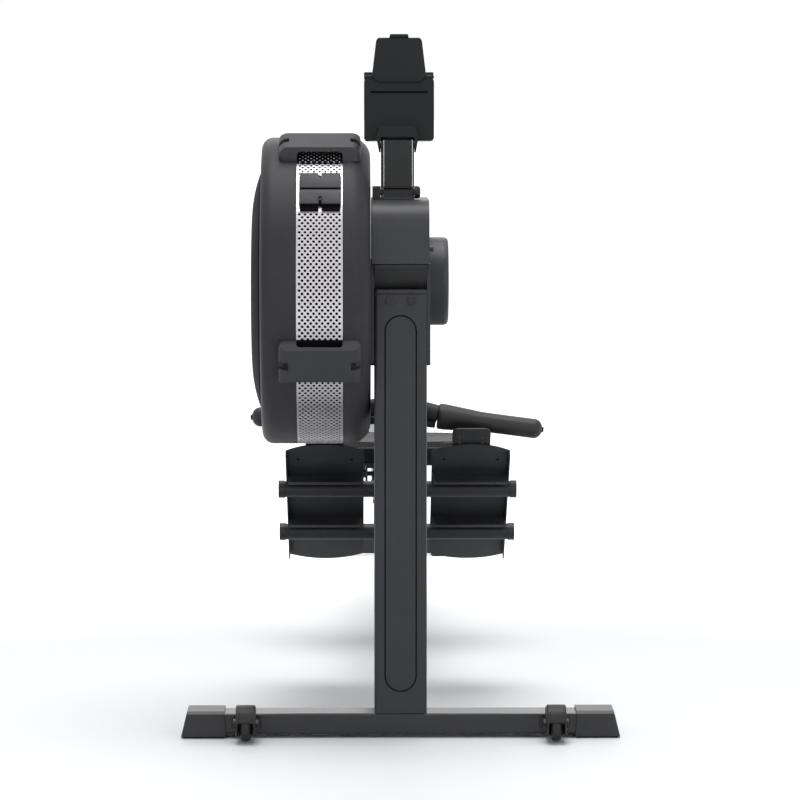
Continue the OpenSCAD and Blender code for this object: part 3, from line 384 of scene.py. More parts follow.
# crossing threads, which run along with the ribbon on any slope
def weaveGroup():
    tree, given, end = group("webWeave", [("Threads", number, 700.0)], {"Height": number, "Mask": number})
    parts = add(tree, "ShaderNodeSeparateXYZ", {"Vector": given["Vector"]})
    waves = []
    for source in (parts["X"], maths(tree, "ADD", parts["Y"], parts["Z"])):
        turned = maths(tree, "MULTIPLY", maths(tree, "MULTIPLY", source, given["Threads"]), math.tau)
        waves.append(maths(tree, "SINE", turned))
    raised = ranged(tree, maths(tree, "MULTIPLY", *waves), -1.0)
    feed(tree, end, {"Height": raised, "Mask": raised})
    return tree


# fine lines left by drawing or turning metal
def brushGroup():
    tree, given, end = group("brushLines", [("Stretch", vector, (1, 1, 1)), ("Scale", number, 400.0)],
                             {"Height": number})
    squeezed = add(tree, "ShaderNodeMapping", {"Vector": given["Vector"], "Scale": given["Stretch"]})[0]
    feed(tree, end, {"Height": noise(tree, squeezed, given["Scale"], 2.0)})
    return tree


groups = {"tone": toneGroup(), "grain": grainGroup(), "edge": edgeGroup(), "weave": weaveGroup(),
          "brush": brushGroup()}


# a finish: its tone, its worn tone, least and most roughness, gloss, fineness and depth of its grain, and
#  the tone and share of its lighter edges, which are partly rub wear and partly painted highlight
def surface(base, worn, rough, gloss, grain, depth, edge=None, wearAndHighlight=0.0, **more):
    return dict(base=base, worn=worn, rough=rough, gloss=gloss, grain=grain, depth=depth, edge=edge,
                wearAndHighlight=wearAndHighlight, **more)


finishes = {
    "frameSteel": surface((0.023, 0.0238, 0.0275), (0.029, 0.030, 0.034), (0.40, 0.50), 0.30, 1500, 0.10,
                          (0.07, 0.07, 0.075), 0.30),
    "housingPlastic": surface((0.015, 0.0155, 0.0165), (0.021, 0.021, 0.0225), (0.44, 0.56), 0.28, 1800, 0.12,
                              (0.05, 0.05, 0.054), 0.22),
    "drumPlastic": surface((0.035, 0.0348, 0.0385), (0.042, 0.0417, 0.0462), (0.42, 0.52), 0.10, 1800, 0.06,
                           (0.07, 0.07, 0.074), 0.18),
    "sidePlastic": surface((0.0175, 0.0178, 0.0197), (0.022, 0.0224, 0.0247), (0.6, 0.72), 0.03, 1800, 0.06,
                           (0.06, 0.06, 0.064), 0.18),
    "bridgePlastic": surface((0.0325, 0.033, 0.0364), (0.040, 0.0407, 0.0447), (0.46, 0.6), 0.22, 1500, 0.14,
                             (0.08, 0.08, 0.085), 0.25),
    "monitorPlastic": surface((0.005, 0.0057, 0.0065), (0.0074, 0.0082, 0.0092), (0.42, 0.54), 0.2, 1900,
                              0.12, (0.04, 0.04, 0.043), 0.2),
    "bandMetal": surface((0.50, 0.48, 0.51), (0.478, 0.459, 0.488), (0.27, 0.31), 0.5, 900, 0.05,
                         (0.9, 0.9, 0.9), 0.2, metal=0.9, brush=(1, 0.02, 0.02)),
    "plateSteel": surface((0.0250, 0.0265, 0.0287), (0.0320, 0.0336, 0.0362), (0.46, 0.58), 0.22, 1500, 0.10,
                          (0.05, 0.05, 0.054), 0.30),
    "armSteel": surface((0.0072, 0.0077, 0.0087), (0.0098, 0.0103, 0.0115), (0.38, 0.5), 0.28, 1500, 0.10,
                        (0.07, 0.07, 0.075), 0.3),
    "coverPlastic": surface((0.031, 0.0318, 0.0352), (0.038, 0.039, 0.043), (0.36, 0.48), 0.3, 1800, 0.10,
                            (0.06, 0.06, 0.064), 0.22),
    "footSteel": surface((0.018, 0.0186, 0.0212), (0.022, 0.0226, 0.0256), (0.15, 0.2), 0.42, 1500, 0.03,
                         (0.07, 0.07, 0.075), 0.2),
    "capPlastic": surface((0.022, 0.0225, 0.025), (0.027, 0.0275, 0.0305), (0.27, 0.33), 0.36, 1800, 0.04,
                          (0.09, 0.09, 0.095), 0.3),
    # near-black for painted shade: tunnel strips, the lining inside the band, clamp feet, grooves and rivet
    # holes
    "paintedShadeBlack": surface((0.003, 0.003, 0.0032), (0.005, 0.005, 0.0052), (0.8, 0.95), 0.08, 700, 0.3),
    "paintedLightWhite": surface((0.80, 0.79, 0.82), (0.70, 0.69, 0.72), (0.5, 0.7), 0.4, 900, 0.05),
    "railMetal": surface((0.17, 0.172, 0.18), (0.2, 0.2, 0.207), (0.30, 0.40), 0.5, 700, 0.07,
                         (0.5, 0.5, 0.51), 0.5, metal=0.9, brush=(1, 0.01, 1)),
    "brightSteel": surface((0.55, 0.55, 0.57), (0.45, 0.45, 0.46), (0.22, 0.34), 0.5, 700, 0.06,
                           (0.8, 0.8, 0.8), 0.4, metal=1.0, brush=(0.04, 1, 1)),
    "blackBolt": surface((0.013, 0.013, 0.0142), (0.022, 0.022, 0.023), (0.28, 0.40), 0.4, 1400, 0.08,
                         (0.22, 0.22, 0.22), 0.6, metal=0.3),
    "fanMetal": surface((0.36, 0.37, 0.39), (0.3, 0.3, 0.32), (0.35, 0.5), 0.5, 500, 0.06,
                        (0.6, 0.6, 0.6), 0.4, metal=0.9, brush=(0.05, 1, 1)),
    "softRubber": surface((0.010, 0.010, 0.011), (0.022, 0.0215, 0.0215), (0.62, 0.8), 0.25, 900, 0.2,
                          (0.05, 0.048, 0.046), 0.6),
    "gripRubber": surface((0.0155, 0.0155, 0.017), (0.023, 0.023, 0.0245), (0.42, 0.56), 0.36, 650, 0.3,
                          (0.04, 0.04, 0.042), 0.2),
    "seatFoam": surface((0.0062, 0.0064, 0.007), (0.0085, 0.0087, 0.0095), (0.40, 0.48), 0.08, 420, 0.12,
                        (0.025, 0.025, 0.025), 0.0),
    "seatPiping": surface((0.009, 0.009, 0.010), (0.015, 0.015, 0.016), (0.4, 0.5), 0.4, 700, 0.2,
                          (0.03, 0.03, 0.03), 0.2),
    "webbing": surface((0.010, 0.010, 0.011), (0.022, 0.022, 0.024), (0.75, 0.9), 0.25, 900, 0.5,
                       weave=620, sheen=0.25),
    "screenGlass": surface((0.006, 0.008, 0.009), (0.009, 0.011, 0.012), (0.05, 0.1), 0.5, 300, 0.01,
                           coat=1.0),
    "screenFilm": surface((0.075, 0.088, 0.078), (0.09, 0.104, 0.092), (0.12, 0.2), 0.5, 300, 0.01,
                          coat=0.6),
    "screenMarks": surface((0.008, 0.009, 0.009), (0.012, 0.013, 0.013), (0.2, 0.3), 0.5, 300, 0.01,
                           coat=0.4),
    "buttonRubber": surface((0.06, 0.06, 0.064), (0.085, 0.085, 0.09), (0.5, 0.62), 0.35, 1200, 0.12,
                            (0.16, 0.16, 0.16), 0.4),
}


def placed(tree, kind, inputs):
    return add(tree, "ShaderNodeGroup", inputs, node_tree=groups[kind])


def makeMaterial(name, look):
    material = bpy.data.materials.new(name)
    material.use_nodes = True
    tree = material.node_tree
    where = add(tree, "ShaderNodeTexCoord")["Object"]
    tone = placed(tree, "tone", {"Vector": where, "Base": (*look["base"], 1), "Worn": (*look["worn"], 1)})
    paint, relief = tone["Color"], {"Strength": look["depth"], "Distance": skin["relief"]}
    # edges are blended towards a lighter tone: rub wear and a painted highlight together
    if look["edge"]:
        edge = placed(tree, "edge", {"Vector": where, "Amount": look["wearAndHighlight"]})
        paint = blended(tree, edge["Mask"], paint, (*look["edge"], 1))
        relief["Normal"] = edge["Normal"]
    if look.get("weave"):
        threads = placed(tree, "weave", {"Vector": where, "Threads": look["weave"]})
        relief["Height"] = threads["Height"]
        # the low parts between threads take a darker tone: painted shade
        shade = [c * skin["shadeBetweenThreads"] for c in look["base"]]
        paint = blended(tree, threads["Mask"], (*shade, 1), paint)
    elif look.get("brush"):
        relief["Height"] = placed(tree, "brush", {"Vector": where, "Stretch": look["brush"],
                                                  "Scale": look["grain"]})["Height"]
    else:
        relief["Height"] = placed(tree, "grain", {"Vector": where, "Scale": look["grain"]})["Height"]
    smooth, rough = look["rough"]
    feed(tree, tree.nodes["Principled BSDF"], {
        "Base Color": paint, "Roughness": ranged(tree, tone["Mask"], low=smooth, high=rough),
        "Normal": add(tree, "ShaderNodeBump", relief)[0], "Metallic": look.get("metal", 0.0),
        "Specular IOR Level": look["gloss"], "Coat Weight": look.get("coat", 0.0),
        "Coat Roughness": skin["coatRough"], "Sheen Weight": look.get("sheen", 0.0)})
    return material


materials = {name: makeMaterial(name, look) for name, look in finishes.items()}
wearing = {
    "frameSteel": "rear_foot post head_bracket side_plate_left side_plate_right rear_leg footrest_bracket "
                  "cross_tubes strap_guide damper_shutter seat_carriage",
    "footSteel": "front_foot",
    "capPlastic": "foot_end_caps",
    "plateSteel": "foot_plate_left foot_plate_right",
    "armSteel": "arm_base monitor_arm",
    "coverPlastic": "spring_housing drive_cover",
    "housingPlastic": "wheel_brackets lower_cover damper_dial strap_spool guide_roller foot_holder_left "
                      "foot_holder_right handle_bar seat_pan seat_rollers_front seat_rollers_rear "
                      "seat_rollers_lower",
    "monitorPlastic": "monitor_case phone_holder phone_clamp",
    "drumPlastic": "drum_shell_left drum_shell_right",
    "sidePlastic": "drum_side_cover",
    "bridgePlastic": "drum_bridges band_clamp",
    "bandMetal": "drum_band",
    "railMetal": "rail",
    "brightSteel": "shaft_bearings fan_shaft recoil_spring",
    "blackBolt": "wheel_bolts frame_bolts",
    "fanMetal": "fan_wheel",
    "softRubber": "foot_pads wheel_left wheel_right rail_stops",
    "gripRubber": "handle_grips",
    "webbing": "strap_lead pull_strap foot_straps",
    "seatFoam": "seat_cushion",
    "screenGlass": "monitor_screen",
    "buttonRubber": "button_left button_middle button_right",
}
for finish, wearers in wearing.items():
    for name in wearers.split():
        for place in nodes[name].material_slots:
            place.material = materials[finish]
print("materials ready")


# gives a finished piece its material and its body, and hides the nodes that it stands for
def fit(obj, body, finish, replaced=(), smooth=32):
    only(obj)
    if smooth:
        bpy.ops.object.shade_smooth_by_angle(angle=math.radians(smooth))
    obj.data.materials.clear()
    obj.data.materials.append(materials[finish])
    if replaced:
        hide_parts(*replaced)
    if body:
        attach(obj, body)


# a screw with a cross recess, its head's top at a point and facing along an axis
def screw(name, top, axis, radius=4.0, height=2.6):
    profile = [(0, -height), (radius, -height), (radius, -height * 0.55), (radius * 0.86, -height * 0.2),
               (radius * 0.5, -0.05), (0, 0)]
    head = lathe(name, profile, top, axis, 24)
    direction = Vector(axis).normalized()
    side = direction.orthogonal().normalized()
    recess = Matrix.Diagonal((radius * 1.1 * mm, radius * 0.24 * mm, height * 1.1 * mm, 1))
    for arm in (side, direction.cross(side)):
        deselect()
        bpy.ops.mesh.primitive_cube_add(size=1)
        tool = named("slotTool")
        tool.data.transform(Matrix((arm, direction.cross(arm), direction)).transposed().to_4x4() @ recess)
        tool.data.transform(Matrix.Translation(top))
        cutOut(head, tool)
    return head


fan = {"y": 160, "z": 642.5, "radius": 226.0}
fanAxis = at(0, fan["y"], fan["z"])


# perforated band: staggered rows of holes, laid out flat, then bent round the fan
def makeBand():
    band = {"wall": 0.6, "across": 8.2, "rows": 300, "hole": 2.08, "holes": 8, "sides": 12, "seam": -23.8,
            "merge": 0.01, "liningGap": 0.15, "liningWall": 0.8, "liningIn": 0.6}
    low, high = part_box("drum_band")
    half, merge, sides = (high.x - low.x) / 2 / mm, band["merge"] * mm, band["sides"]
    step, rise = band["across"], math.tau * fan["radius"] / band["rows"]
    shortY = (rise ** 2 - step ** 2 / 4) / (2 * rise)
    tallY = (rise ** 2 + step ** 2 / 4) / (2 * rise)
    corners = [(step / 2, shortY), (0, tallY), (-step / 2, shortY), (-step / 2, -shortY), (0, -tallY),
               (step / 2, -shortY)]
    outline = [(step / 2, 0)]
    for corner, following in zip(corners, corners[1:]):
        outline += [corner, ((corner[0] + following[0]) / 2, (corner[1] + following[1]) / 2)]
    outline.append(corners[-1])
    deselect()
    bpy.ops.mesh.primitive_circle_add(vertices=sides, radius=band["hole"] * mm)
    cell = named("bandCell")

    # a hole's rim is drawn out to the six-sided cell round it
    def widen(mesh):
        bpy.ops.mesh.select_all(action="SELECT")
        bpy.ops.mesh.extrude_region_move()
        for v in [v for v in mesh.verts if v.select]:
            i = round(math.degrees(math.atan2(v.co.y, v.co.x)) % 360 / (360 / sides)) % sides
            v.co = Vector((outline[i][0] * mm, outline[i][1] * mm, 0))

    def repeated(obj, count, x, y):
        modify(obj, "ARRAY", count=count, use_relative_offset=False, use_constant_offset=True,
               constant_offset_displace=(x, y, 0), use_merge_vertices=True, merge_threshold=merge)

    meshTask(cell, widen)
    cell.data.transform(Matrix.Translation((-step * mm * (band["holes"] - 1) / 2, 0, 0)))
    other = copied(cell)
    other.data.transform(Matrix.Translation((step * mm / 2, rise * mm, 0)))
    repeated(cell, band["holes"], step * mm, 0)
    repeated(other, band["holes"] - 1, step * mm, 0)
    strip = joined("perforatedBand", [cell, other])
    repeated(strip, band["rows"] // 2, 0, 2 * rise * mm)
    holeEdge = 2 * band["hole"] * mm * math.sin(math.pi / sides)
    inner = step * (band["holes"] / 2 - 1) * mm

    # the ragged long edges are drawn out straight to the band's width
    def margins(mesh):
        closeUp(band["merge"], turned=False)
        bpy.ops.mesh.select_all(action="DESELECT")
        for e in mesh.edges:
            ends = [v.co for v in e.verts]
            rim = abs(e.calc_length() - holeEdge) < 2 * merge
            length = abs(ends[0].y - ends[1].y)
            if e.is_boundary and not rim and length > merge and min(abs(c.x) for c in ends) > inner:
                e.select = True
        mesh.select_flush_mode()
        bmesh.update_edit_mesh(strip.data)
        bpy.ops.mesh.extrude_region_move()
        for v in [v for v in bmesh.from_edit_mesh(strip.data).verts if v.select]:
            v.co.x = math.copysign(half * mm, v.co.x)

    meshTask(strip, margins)
    middle = (low.x + high.x) / 2
    for v in strip.data.vertices:
        angle = v.co.y / (rise * mm) * math.tau / band["rows"] + math.radians(band["seam"])
        v.co = Vector((middle + v.co.x, fanAxis.y - fan["radius"] * mm * math.cos(angle),
                       fanAxis.z + fan["radius"] * mm * math.sin(angle)))
    meshTask(strip, lambda mesh: closeUp(2 * band["merge"], turned=False))
    modify(strip, "SOLIDIFY", thickness=band["wall"] * mm, offset=-1)
    fit(strip, "frame", "bandMetal", ["drum_band"], smooth=30)
    # a near-black lining just inside the band: painted shade, so that the holes look dark
    r, wide = fan["radius"] - band["wall"] - band["liningGap"], half - band["liningIn"]
    back = r - band["liningWall"]
    shadeLining = lathe("holeShadeLining", [(r, -wide), (r, wide), (back, wide), (back, -wide), (r, -wide)],
                   fanAxis + Vector((middle, 0, 0)), steps=180)
    fit(shadeLining, "frame", "paintedShadeBlack", smooth=30)
    print("band:", len(strip.data.polygons), "faces")


# bridges over the band, modelled on top of the drum and turned to their places
def makeBridges():
    bridge = {"middle": -116.5, "half": 59.5, "foot": 57.0, "round": 13.5, "length": 66.0, "topLength": 50.0,
              "rise": 17.6, "knee": 4.0, "tunnel": 33.0, "tunnelRound": 5.0, "headroom": 11.8, "plan": 8.0,
              "first": -23.8, "count": 4, "pocket": 44.5, "pocketWide": 6.2, "pocketFloor": (9.6, 3.6),
              "screw": 50.5, "edge": 2.4, "shadeStrip": (0.7, 0.1), "topShadeStrip": 1.2}
    r, x0, y0 = fan["radius"], bridge["middle"], fan["y"]
    z = fan["z"] + r
    half, corner = bridge["length"] / 2, bridge["round"]
    side, top = bridge["half"] - corner, z + bridge["rise"] - corner
    outline = [(x0 - bridge["foot"], z - 8), (x0 + bridge["foot"], z - 8)]
    outline += arc(x0 + side, top, corner, 0, 90, 7) + arc(x0 - side, top, corner, 90, 180, 7)
    body = prism("bridgeCover", outline, "y", y0 - half, y0 + half)
    centre, taper = at(0, y0, 0).y, 1 - bridge["topLength"] / bridge["length"]
    for v in body.data.vertices:
        share = min(1, max(0, (v.co.z / mm - z - bridge["knee"]) / (bridge["rise"] - bridge["knee"])))
        v.co.y = centre + (v.co.y - centre) * (1 - share * taper)
    plan = roundedBox(x0, y0, 2 * bridge["half"] - 0.3, bridge["length"] - 0.3, bridge["plan"])
    cutOut(body, prism("planTool", plan, "z", z - 20, z + 40), "INTERSECT")
    bevelled(body, bridge["edge"], 4, 26)
    cutOut(body, lathe("drumTool", rod(r + 0.15, -90, 90), fanAxis + Vector((x0 * mm, 0, 0)), steps=240))
    w, h, c = bridge["tunnel"], z + bridge["headroom"], bridge["tunnelRound"]
    hole = [(x0 - w, z - 12), (x0 + w, z - 12)] + arc(x0 + w - c, h - c, c, 0, 90, 6)
    cutOut(body, prism("tunnelTool", hole + arc(x0 - w + c, h - c, c, 90, 180, 6), "y", y0 - 60, y0 + 60))
    screws = []
    wide = bridge["pocketWide"]
    high, low = bridge["pocketFloor"]
    for s in (-1, 1):
        inner, outer = x0 + s * bridge["pocket"], x0 + s * (bridge["half"] + 6)
        mouth = [(inner, z + 40), (inner, z + high), (outer, z + low), (outer, z + 40)]
        cutOut(body, prism("pocketTool", mouth, "y", y0 - wide, y0 + wide))
        head = at(x0 + s * bridge["screw"], y0, z + high + 0.6)
        screws.append(screw("bridgeScrew", head, (0, 0, 1), 4.0, 3.4))
    shadeStrips, covers, heads = [], [], []
    outer, inner = bridge["shadeStrip"]
    reach = math.degrees(half / r) - 0.1
    for i in range(bridge["count"]):
        middle = bridge["first"] + i * 360 / bridge["count"]
        covers.append(turn(copied(body), 90 - middle, "X", fanAxis))
        heads += [turn(copied(head), 90 - middle, "X", fanAxis) for head in screws]
        last = 180 - middle + reach + (bridge["topShadeStrip"] if i == 1 else 0)  # the shade strip shows below the top bridge
        # near-black strips on the band inside each tunnel: painted shade where the bridge shades the band
        strip = ringPart(fan["y"], fan["z"], r + outer, r + inner, 180 - middle - reach, last, 16)
        shadeStrips.append(prism("paintedShadeBlack", strip, "x", x0 - w + 0.1, x0 + w - 0.1))
    for obj in [body] + screws:
        bpy.data.objects.remove(obj)
    fit(joined("bridgeCovers", covers), "frame", "bridgePlastic", ["drum_bridges"])
    fit(joined("bridgeScrews", heads), "frame", "blackBolt")
    fit(joined("paintedTunnelShade", shadeStrips), "frame", "paintedShadeBlack")
    makeDots(x0, r + outer)
    print("bridges ready")


# white discs on the shade strip under the top bridge: painted light standing in for the light seen through
# the band's holes
def makeDots(x0, radius):
    dots = {"across": 8.2, "size": 1.15, "first": 57.6, "last": 65.6, "step": 1.2, "count": 8, "lift": 0.25}
    size, lift = dots["size"], dots["lift"]
    made = []
    for row in range(int((dots["last"] - dots["first"]) / dots["step"]) + 1):
        count = dots["count"] - row % 2
        angle = 90 - dots["first"] - row * dots["step"]
        for side in (-1, 1):
            for i in range(count):
                x = x0 + (i - (count - 1) / 2) * dots["across"]
                dot = lathe("dot", [(size, -0.1), (size, 0), (size * 0.7, lift), (0, lift)],
                            at(x, fan["y"], fan["z"] + radius), (0, 0, 1), steps=10)
                made.append(turn(dot, angle * side, "X", fanAxis))
    fit(joined("paintedLightDots", made), "frame", "paintedLightWhite", smooth=40)


# blocks and screw that draw the band's ends together
def makeClamp():
    clamp = {"middle": -115.6, "half": 29.2, "first": 1.8, "last": 27.6, "plate": 6.0, "top": 8.6,
             "notch": 2.1, "deep": {-1: 12.6, 1: 6.0}, "foot": (24.0, 34.0), "angle": 41.2,
             "doubler": (32.2, 48.6), "bolt": 3.6,
             "head": [(0, 15), (3.0, 15), (3.0, 19.4), (2.2, 20.2), (0, 20.2)]}
    x0, y0, z, r = clamp["middle"], fan["y"], fan["z"] + fan["radius"], fan["radius"]
    n, w, near, far = clamp["notch"], clamp["half"], clamp["first"], clamp["last"]
    inner, outer = clamp["foot"]
    middle = at(x0, y0, z + clamp["bolt"])
    plates, feet, bolts = [], [], []
    for s in (-1, 1):
        end, deep, tip = y0 + s * far, y0 + s * (far - clamp["deep"][s]), n * (0.5 if s > 0 else 1)
        outline = [(x0 - w, y0 + s * near), (x0 + w, y0 + s * near), (x0 + w, end), (x0 + n, end),
                   (x0 + tip, deep), (x0 - tip, deep), (x0 - n, end), (x0 - w, end)]
        plates.append(prism("clampPlate", outline, "z", z + clamp["plate"], z + clamp["top"], 0.7))
        low, high = sorted((y0 + s * inner, y0 + s * outer))
        # the feet and blocks are near-black, and the blocks reach a little past the plates: painted shade
        # under and beside the clamp plates
        for left, right in ((-w + 0.6, -n - 0.5), (n + 0.5, w - 0.6)):
            feet.append(slab("clampFoot", (x0 + left, low, z - 3.6), (x0 + right, high, z + 3.0), 0.8))
        low, high = sorted((y0 + s * (near - 1), y0 + s * (inner + 1)))
        feet.append(slab("clampBlock", (x0 - w - 0.8, low, z - 1),
                         (x0 + w + 0.8, high, z + clamp["plate"] + 0.3), 0.5))
        bolts.append(lathe("clampBolt", [(a, s * b) for a, b in clamp["head"]], middle, (0, 1, 0), 24))
    bolts.append(lathe("clampThread", rod(1.9, -16, 16), middle, (0, 1, 0), 20))
    for obj in plates + feet + bolts:
        turn(obj, 90 - clamp["angle"], "X", fanAxis)
    first, last = clamp["doubler"]
    strip = ringPart(y0, fan["z"], r + 0.5, r, 180 - last, 180 - first, 14)
    fit(prism("bandDoubler", strip, "x", x0 - w - 2.4, x0 + w + 2.4), "frame", "bandMetal")
    fit(joined("clampPlates", plates), "frame", "bridgePlastic", ["band_clamp"])
    fit(joined("clampFeetPaintedShade", feet), "frame", "paintedShadeBlack")
    fit(joined("clampBolts", bolts), "frame", "blackBolt")
    print("clamp ready")


# handle: two grips that droop from a hub, and the tongue that the strap is sewn round
def makeGrips():
    handle = {"y": 372, "z": 448, "roll": 2.5, "droop": 5.0, "half": 226.0, "grip": 15.0, "collar": 19.9,
              "gap": 62.0, "neckRise": 14.5, "neckUp": 2.6, "hubHalf": 13.6, "tip": 15, "face": 13.4,
              "hub": [(-31, -15.4), (0, -14), (31, -18.2), (33, 2), (30, 20), (14, 25.5), (-14, 25.5),
                      (-30, 21), (-33, 3)],
              "neck": [(0, 0), (12.6, 0), (13.6, 1.4), (13.9, 4), (13.7, 12), (13.2, 24), (13.0, 42),
                       (0, 44)]}
    y, z, gap, half, r, big = (handle[k] for k in ("y", "z", "gap", "half", "grip", "collar"))
    middle, end = at(0, y, z), half - handle["tip"]
    swell = [(9.2, gap + 0.2), (big - 3.2, gap + 0.2), (big - 1.2, gap + 0.8), (big - 0.2, gap + 2.6),
             (big, gap + 6), (big - 0.3, gap + 14), (big - 1.1, gap + 24), (big - 2.2, gap + 36),
             (big - 3.2, gap + 50), (r + 0.35, gap + 64), (r, gap + 82), (r - 0.1, half - 50), (r, half - 24),
             (r, end)]
    swell += [(r * math.cos(a), end + 13 * math.sin(a)) for a in [math.radians(9 * i) for i in range(1, 9)]]
    swell += [(4.3, half - 3.4), (4.3, half - 12)]
    plug = [(0, half - 11), (4.2, half - 11), (4.2, half - 1.4), (3.5, half - 0.3), (2.4, half),
            (1.9, half - 0.7), (0, half - 0.7)]
    grips, plugs, core = [], [], []
    for s in (-1, 1):
        tilt = math.radians(handle["droop"] + s * handle["roll"])
        along = Vector((s * math.cos(tilt), 0, -math.sin(tilt)))
        grips.append(lathe("handleGrip", swell, middle, along))
        plugs.append(lathe("gripPlug", plug, middle, along, 32))
        start = middle + along * (gap + 1) * mm
        start.z += handle["neckUp"] * mm
        rise = math.radians(handle["neckRise"] + s * handle["roll"])
        core.append(lathe("handleNeck", handle["neck"], start, (-s * math.cos(rise), 0, math.sin(rise))))
    fit(joined("handleGrips", grips), "handle", "gripRubber", ["handle_grips"])
    fit(joined("gripPlugs", plugs), "handle", "softRubber")
    deep = handle["hubHalf"]
    core.append(prism("handleHub", [(a, z + b) for a, b in handle["hub"]], "y", y - deep, y + deep, 6.5, 5))
    core.append(slab("strapTongue", (-17, y - 24, z - 7), (17, y, z + 7), 2))
    cutOut(core[-1], slab("slotTool", (-14.5, y - 25, z - 3), (14.5, y - 18, z + 3), 0))
    fit(joined("handleHub", core), "handle", "housingPlastic", ["handle_bar"])
    rest = slab("neckRest", (34, y - 9, z - 18.5), (60, y + 9, z - 8), 2.5)
    rests = [turn(piece, s * handle["droop"] + handle["roll"], "Y", middle)
             for s, piece in zip((1, -1), bothSides(rest))]
    fit(joined("neckRests", rests), "handle", "softRubber")
    caps = [screw("hubScrew", at(x, y - handle["face"], z + 12), (0, -1, 0), 3.2, 1.8) for x in (-16, 16)]
    fit(joined("hubScrews", caps), "handle", "blackBolt")
    print("grips ready")


# a flat woven strap along points in millimetres, on the plane across the machine
def ribbon(name, route, width, thick):
    faces = []
    for i, (y, z) in enumerate(route):
        before, after = route[max(i - 1, 0)], route[min(i + 1, len(route) - 1)]
        run = Vector((after[0] - before[0], after[1] - before[1])).normalized()
        faces.append([(y - side * run.y * thick / 2, z + side * run.x * thick / 2) for side in (1, -1)])
    w = width / 2
    deselect()
    bpy.ops.mesh.primitive_grid_add(x_subdivisions=6, y_subdivisions=len(route) - 1, size=1)
    obj = named(name)
    share = [-w, -w + 0.8, -w + 2.2, 0, w - 2.2, w - 0.8, w]
    drop = [0.55, 0.12, 0, 0.04, 0, 0.12, 0.55]  # how far each line of threads lies below the top
    columns = sorted({round(v.co.x, 4) for v in obj.data.vertices})
    rows = sorted({round(v.co.y, 4) for v in obj.data.vertices})
    for v in obj.data.vertices:
        i = columns.index(round(v.co.x, 4))
        outer, inner = faces[rows.index(round(v.co.y, 4))]
        y, z = [a + (b - a) * drop[i] * 0.5 for a, b in zip(outer, inner)]
        v.co = at(share[i], y, z)
    modify(obj, "SOLIDIFY", thickness=thick * mm * 0.92, offset=0)
    return meshTask(obj, lambda mesh: closeUp(0.001))


# the strap from its spool, round the guide roller, to the handle
def makePullStrap():
    strap = {"width": 25.0, "thick": 1.5, "from": 242.2, "to": 349.0, "z": 447.2, "steps": 64, "wound": 49.2,
             "roller": (224, 462, 14.8), "drop": 12, "drops": 14}
    start, end, z = strap["from"], strap["to"], strap["z"]
    route = [(start + (end - start) * i / strap["steps"], z) for i in range(strap["steps"] + 1)]
    band = ribbon("pullStrap", route, strap["width"], strap["thick"])
    fit(band, None, "webbing", ["pull_strap"], smooth=40)
    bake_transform(band)
    y, up, r = strap["roller"]
    lead = arc(fan["y"], fan["z"], strap["wound"], 352, 0, 72)
    lead += [(y - r, fan["z"] - strap["drop"] * i) for i in range(1, strap["drops"] + 1)]
    lead += arc(y, up, r, 180, 270, 14) + [(start - 12, z), (start, z)]
    fit(ribbon("strapLead", lead, strap["width"], strap["thick"]), "frame", "webbing",
        ["strap_lead"], smooth=40)
    print("pull strap ready")


# transport wheels and the hoods over them
def makeWheels():
    wheel = {"across": 223.5, "ahead": 40.0, "axle": 27.0, "radius": 25.0, "half": 8.9, "bore": 4.1,
             "hood": 27.6, "inside": 25.7, "outHalf": 14.0, "inHalf": 11.5, "rib": 9.8, "ribRise": 1.5,
             "head": 7.1, "flange": 22}
    y, z, r, w = -wheel["ahead"], wheel["axle"], wheel["radius"], wheel["half"]
    half, hood, head, bore = wheel["outHalf"], wheel["hood"], wheel["head"], wheel["bore"]
    right = [(bore, w - 0.8), (9, w - 0.8), (10, 5), (r - 10, 5), (r - 9, w), (r - 5.5, w - 0.4),
             (r - 2.7, w - 1.8), (r - 1.0, w - 3.9), (r - 0.2, w - 6.4), (r, 0)]
    tread = [(a, -b) for a, b in right] + right[-2::-1] + [(bore, 0.8 - w)]
    shape = arc(y, z, hood, 218, 75, 26) + [(-4, 47), (0, 44), (0, 14), (-22, 10)]
    space = arc(y, z, wheel["inside"], 0, 170, 24) + [(-80, z + 4.5), (-80, -5), (y + wheel["inside"], -5)]
    ridge = ringPart(y, z, hood + wheel["ribRise"], hood - 0.8, 169, 134, 10)
    nut = [(0, half), (head, half), (head, half + 3.6), (head - 1.2, half + 4.4), (2.6, half + 5.4),
           (0, half + 5.6)]
    hoods, bolts = [], []
    for s, name, body in ((-1, "wheelLeft", "wheel_left"), (1, "wheelRight", "wheel_right")):
        x = s * wheel["across"]
        fit(lathe(name, tread, at(x, y, z), steps=72), body, "gripRubber", [body], smooth=34)
        shell = prism("wheelHood", shape, "x", x - half, x + half, 2.4, 4)
        cutOut(shell, prism("spaceTool", space, "x", x - wheel["inHalf"], x + wheel["inHalf"]))
        hoods += [shell, prism("hoodRib", ridge, "x", x - wheel["rib"], x + wheel["rib"], 0.8, 3)]
        hoods.append(slab("hoodFlange", (x - wheel["flange"], -3, 14.5), (x + wheel["flange"], 0, 29.5), 0.8))
        bolts.append(lathe("wheelAxle", rod(4, -half - 1, half + 1), at(x, y, z), steps=32))
        for side in (-1, 1):  # a round head outside, a nut inside
            bolts.append(lathe("axleNut", nut, at(x, y, z), (side, 0, 0), 6 if side * s < 0 else 28))
    fit(joined("wheelHoods", hoods), "frame", "housingPlastic", ["wheel_brackets"])
    fit(joined("wheelAxles", bolts), "frame", "blackBolt", ["wheel_bolts"])
    print("wheels ready")


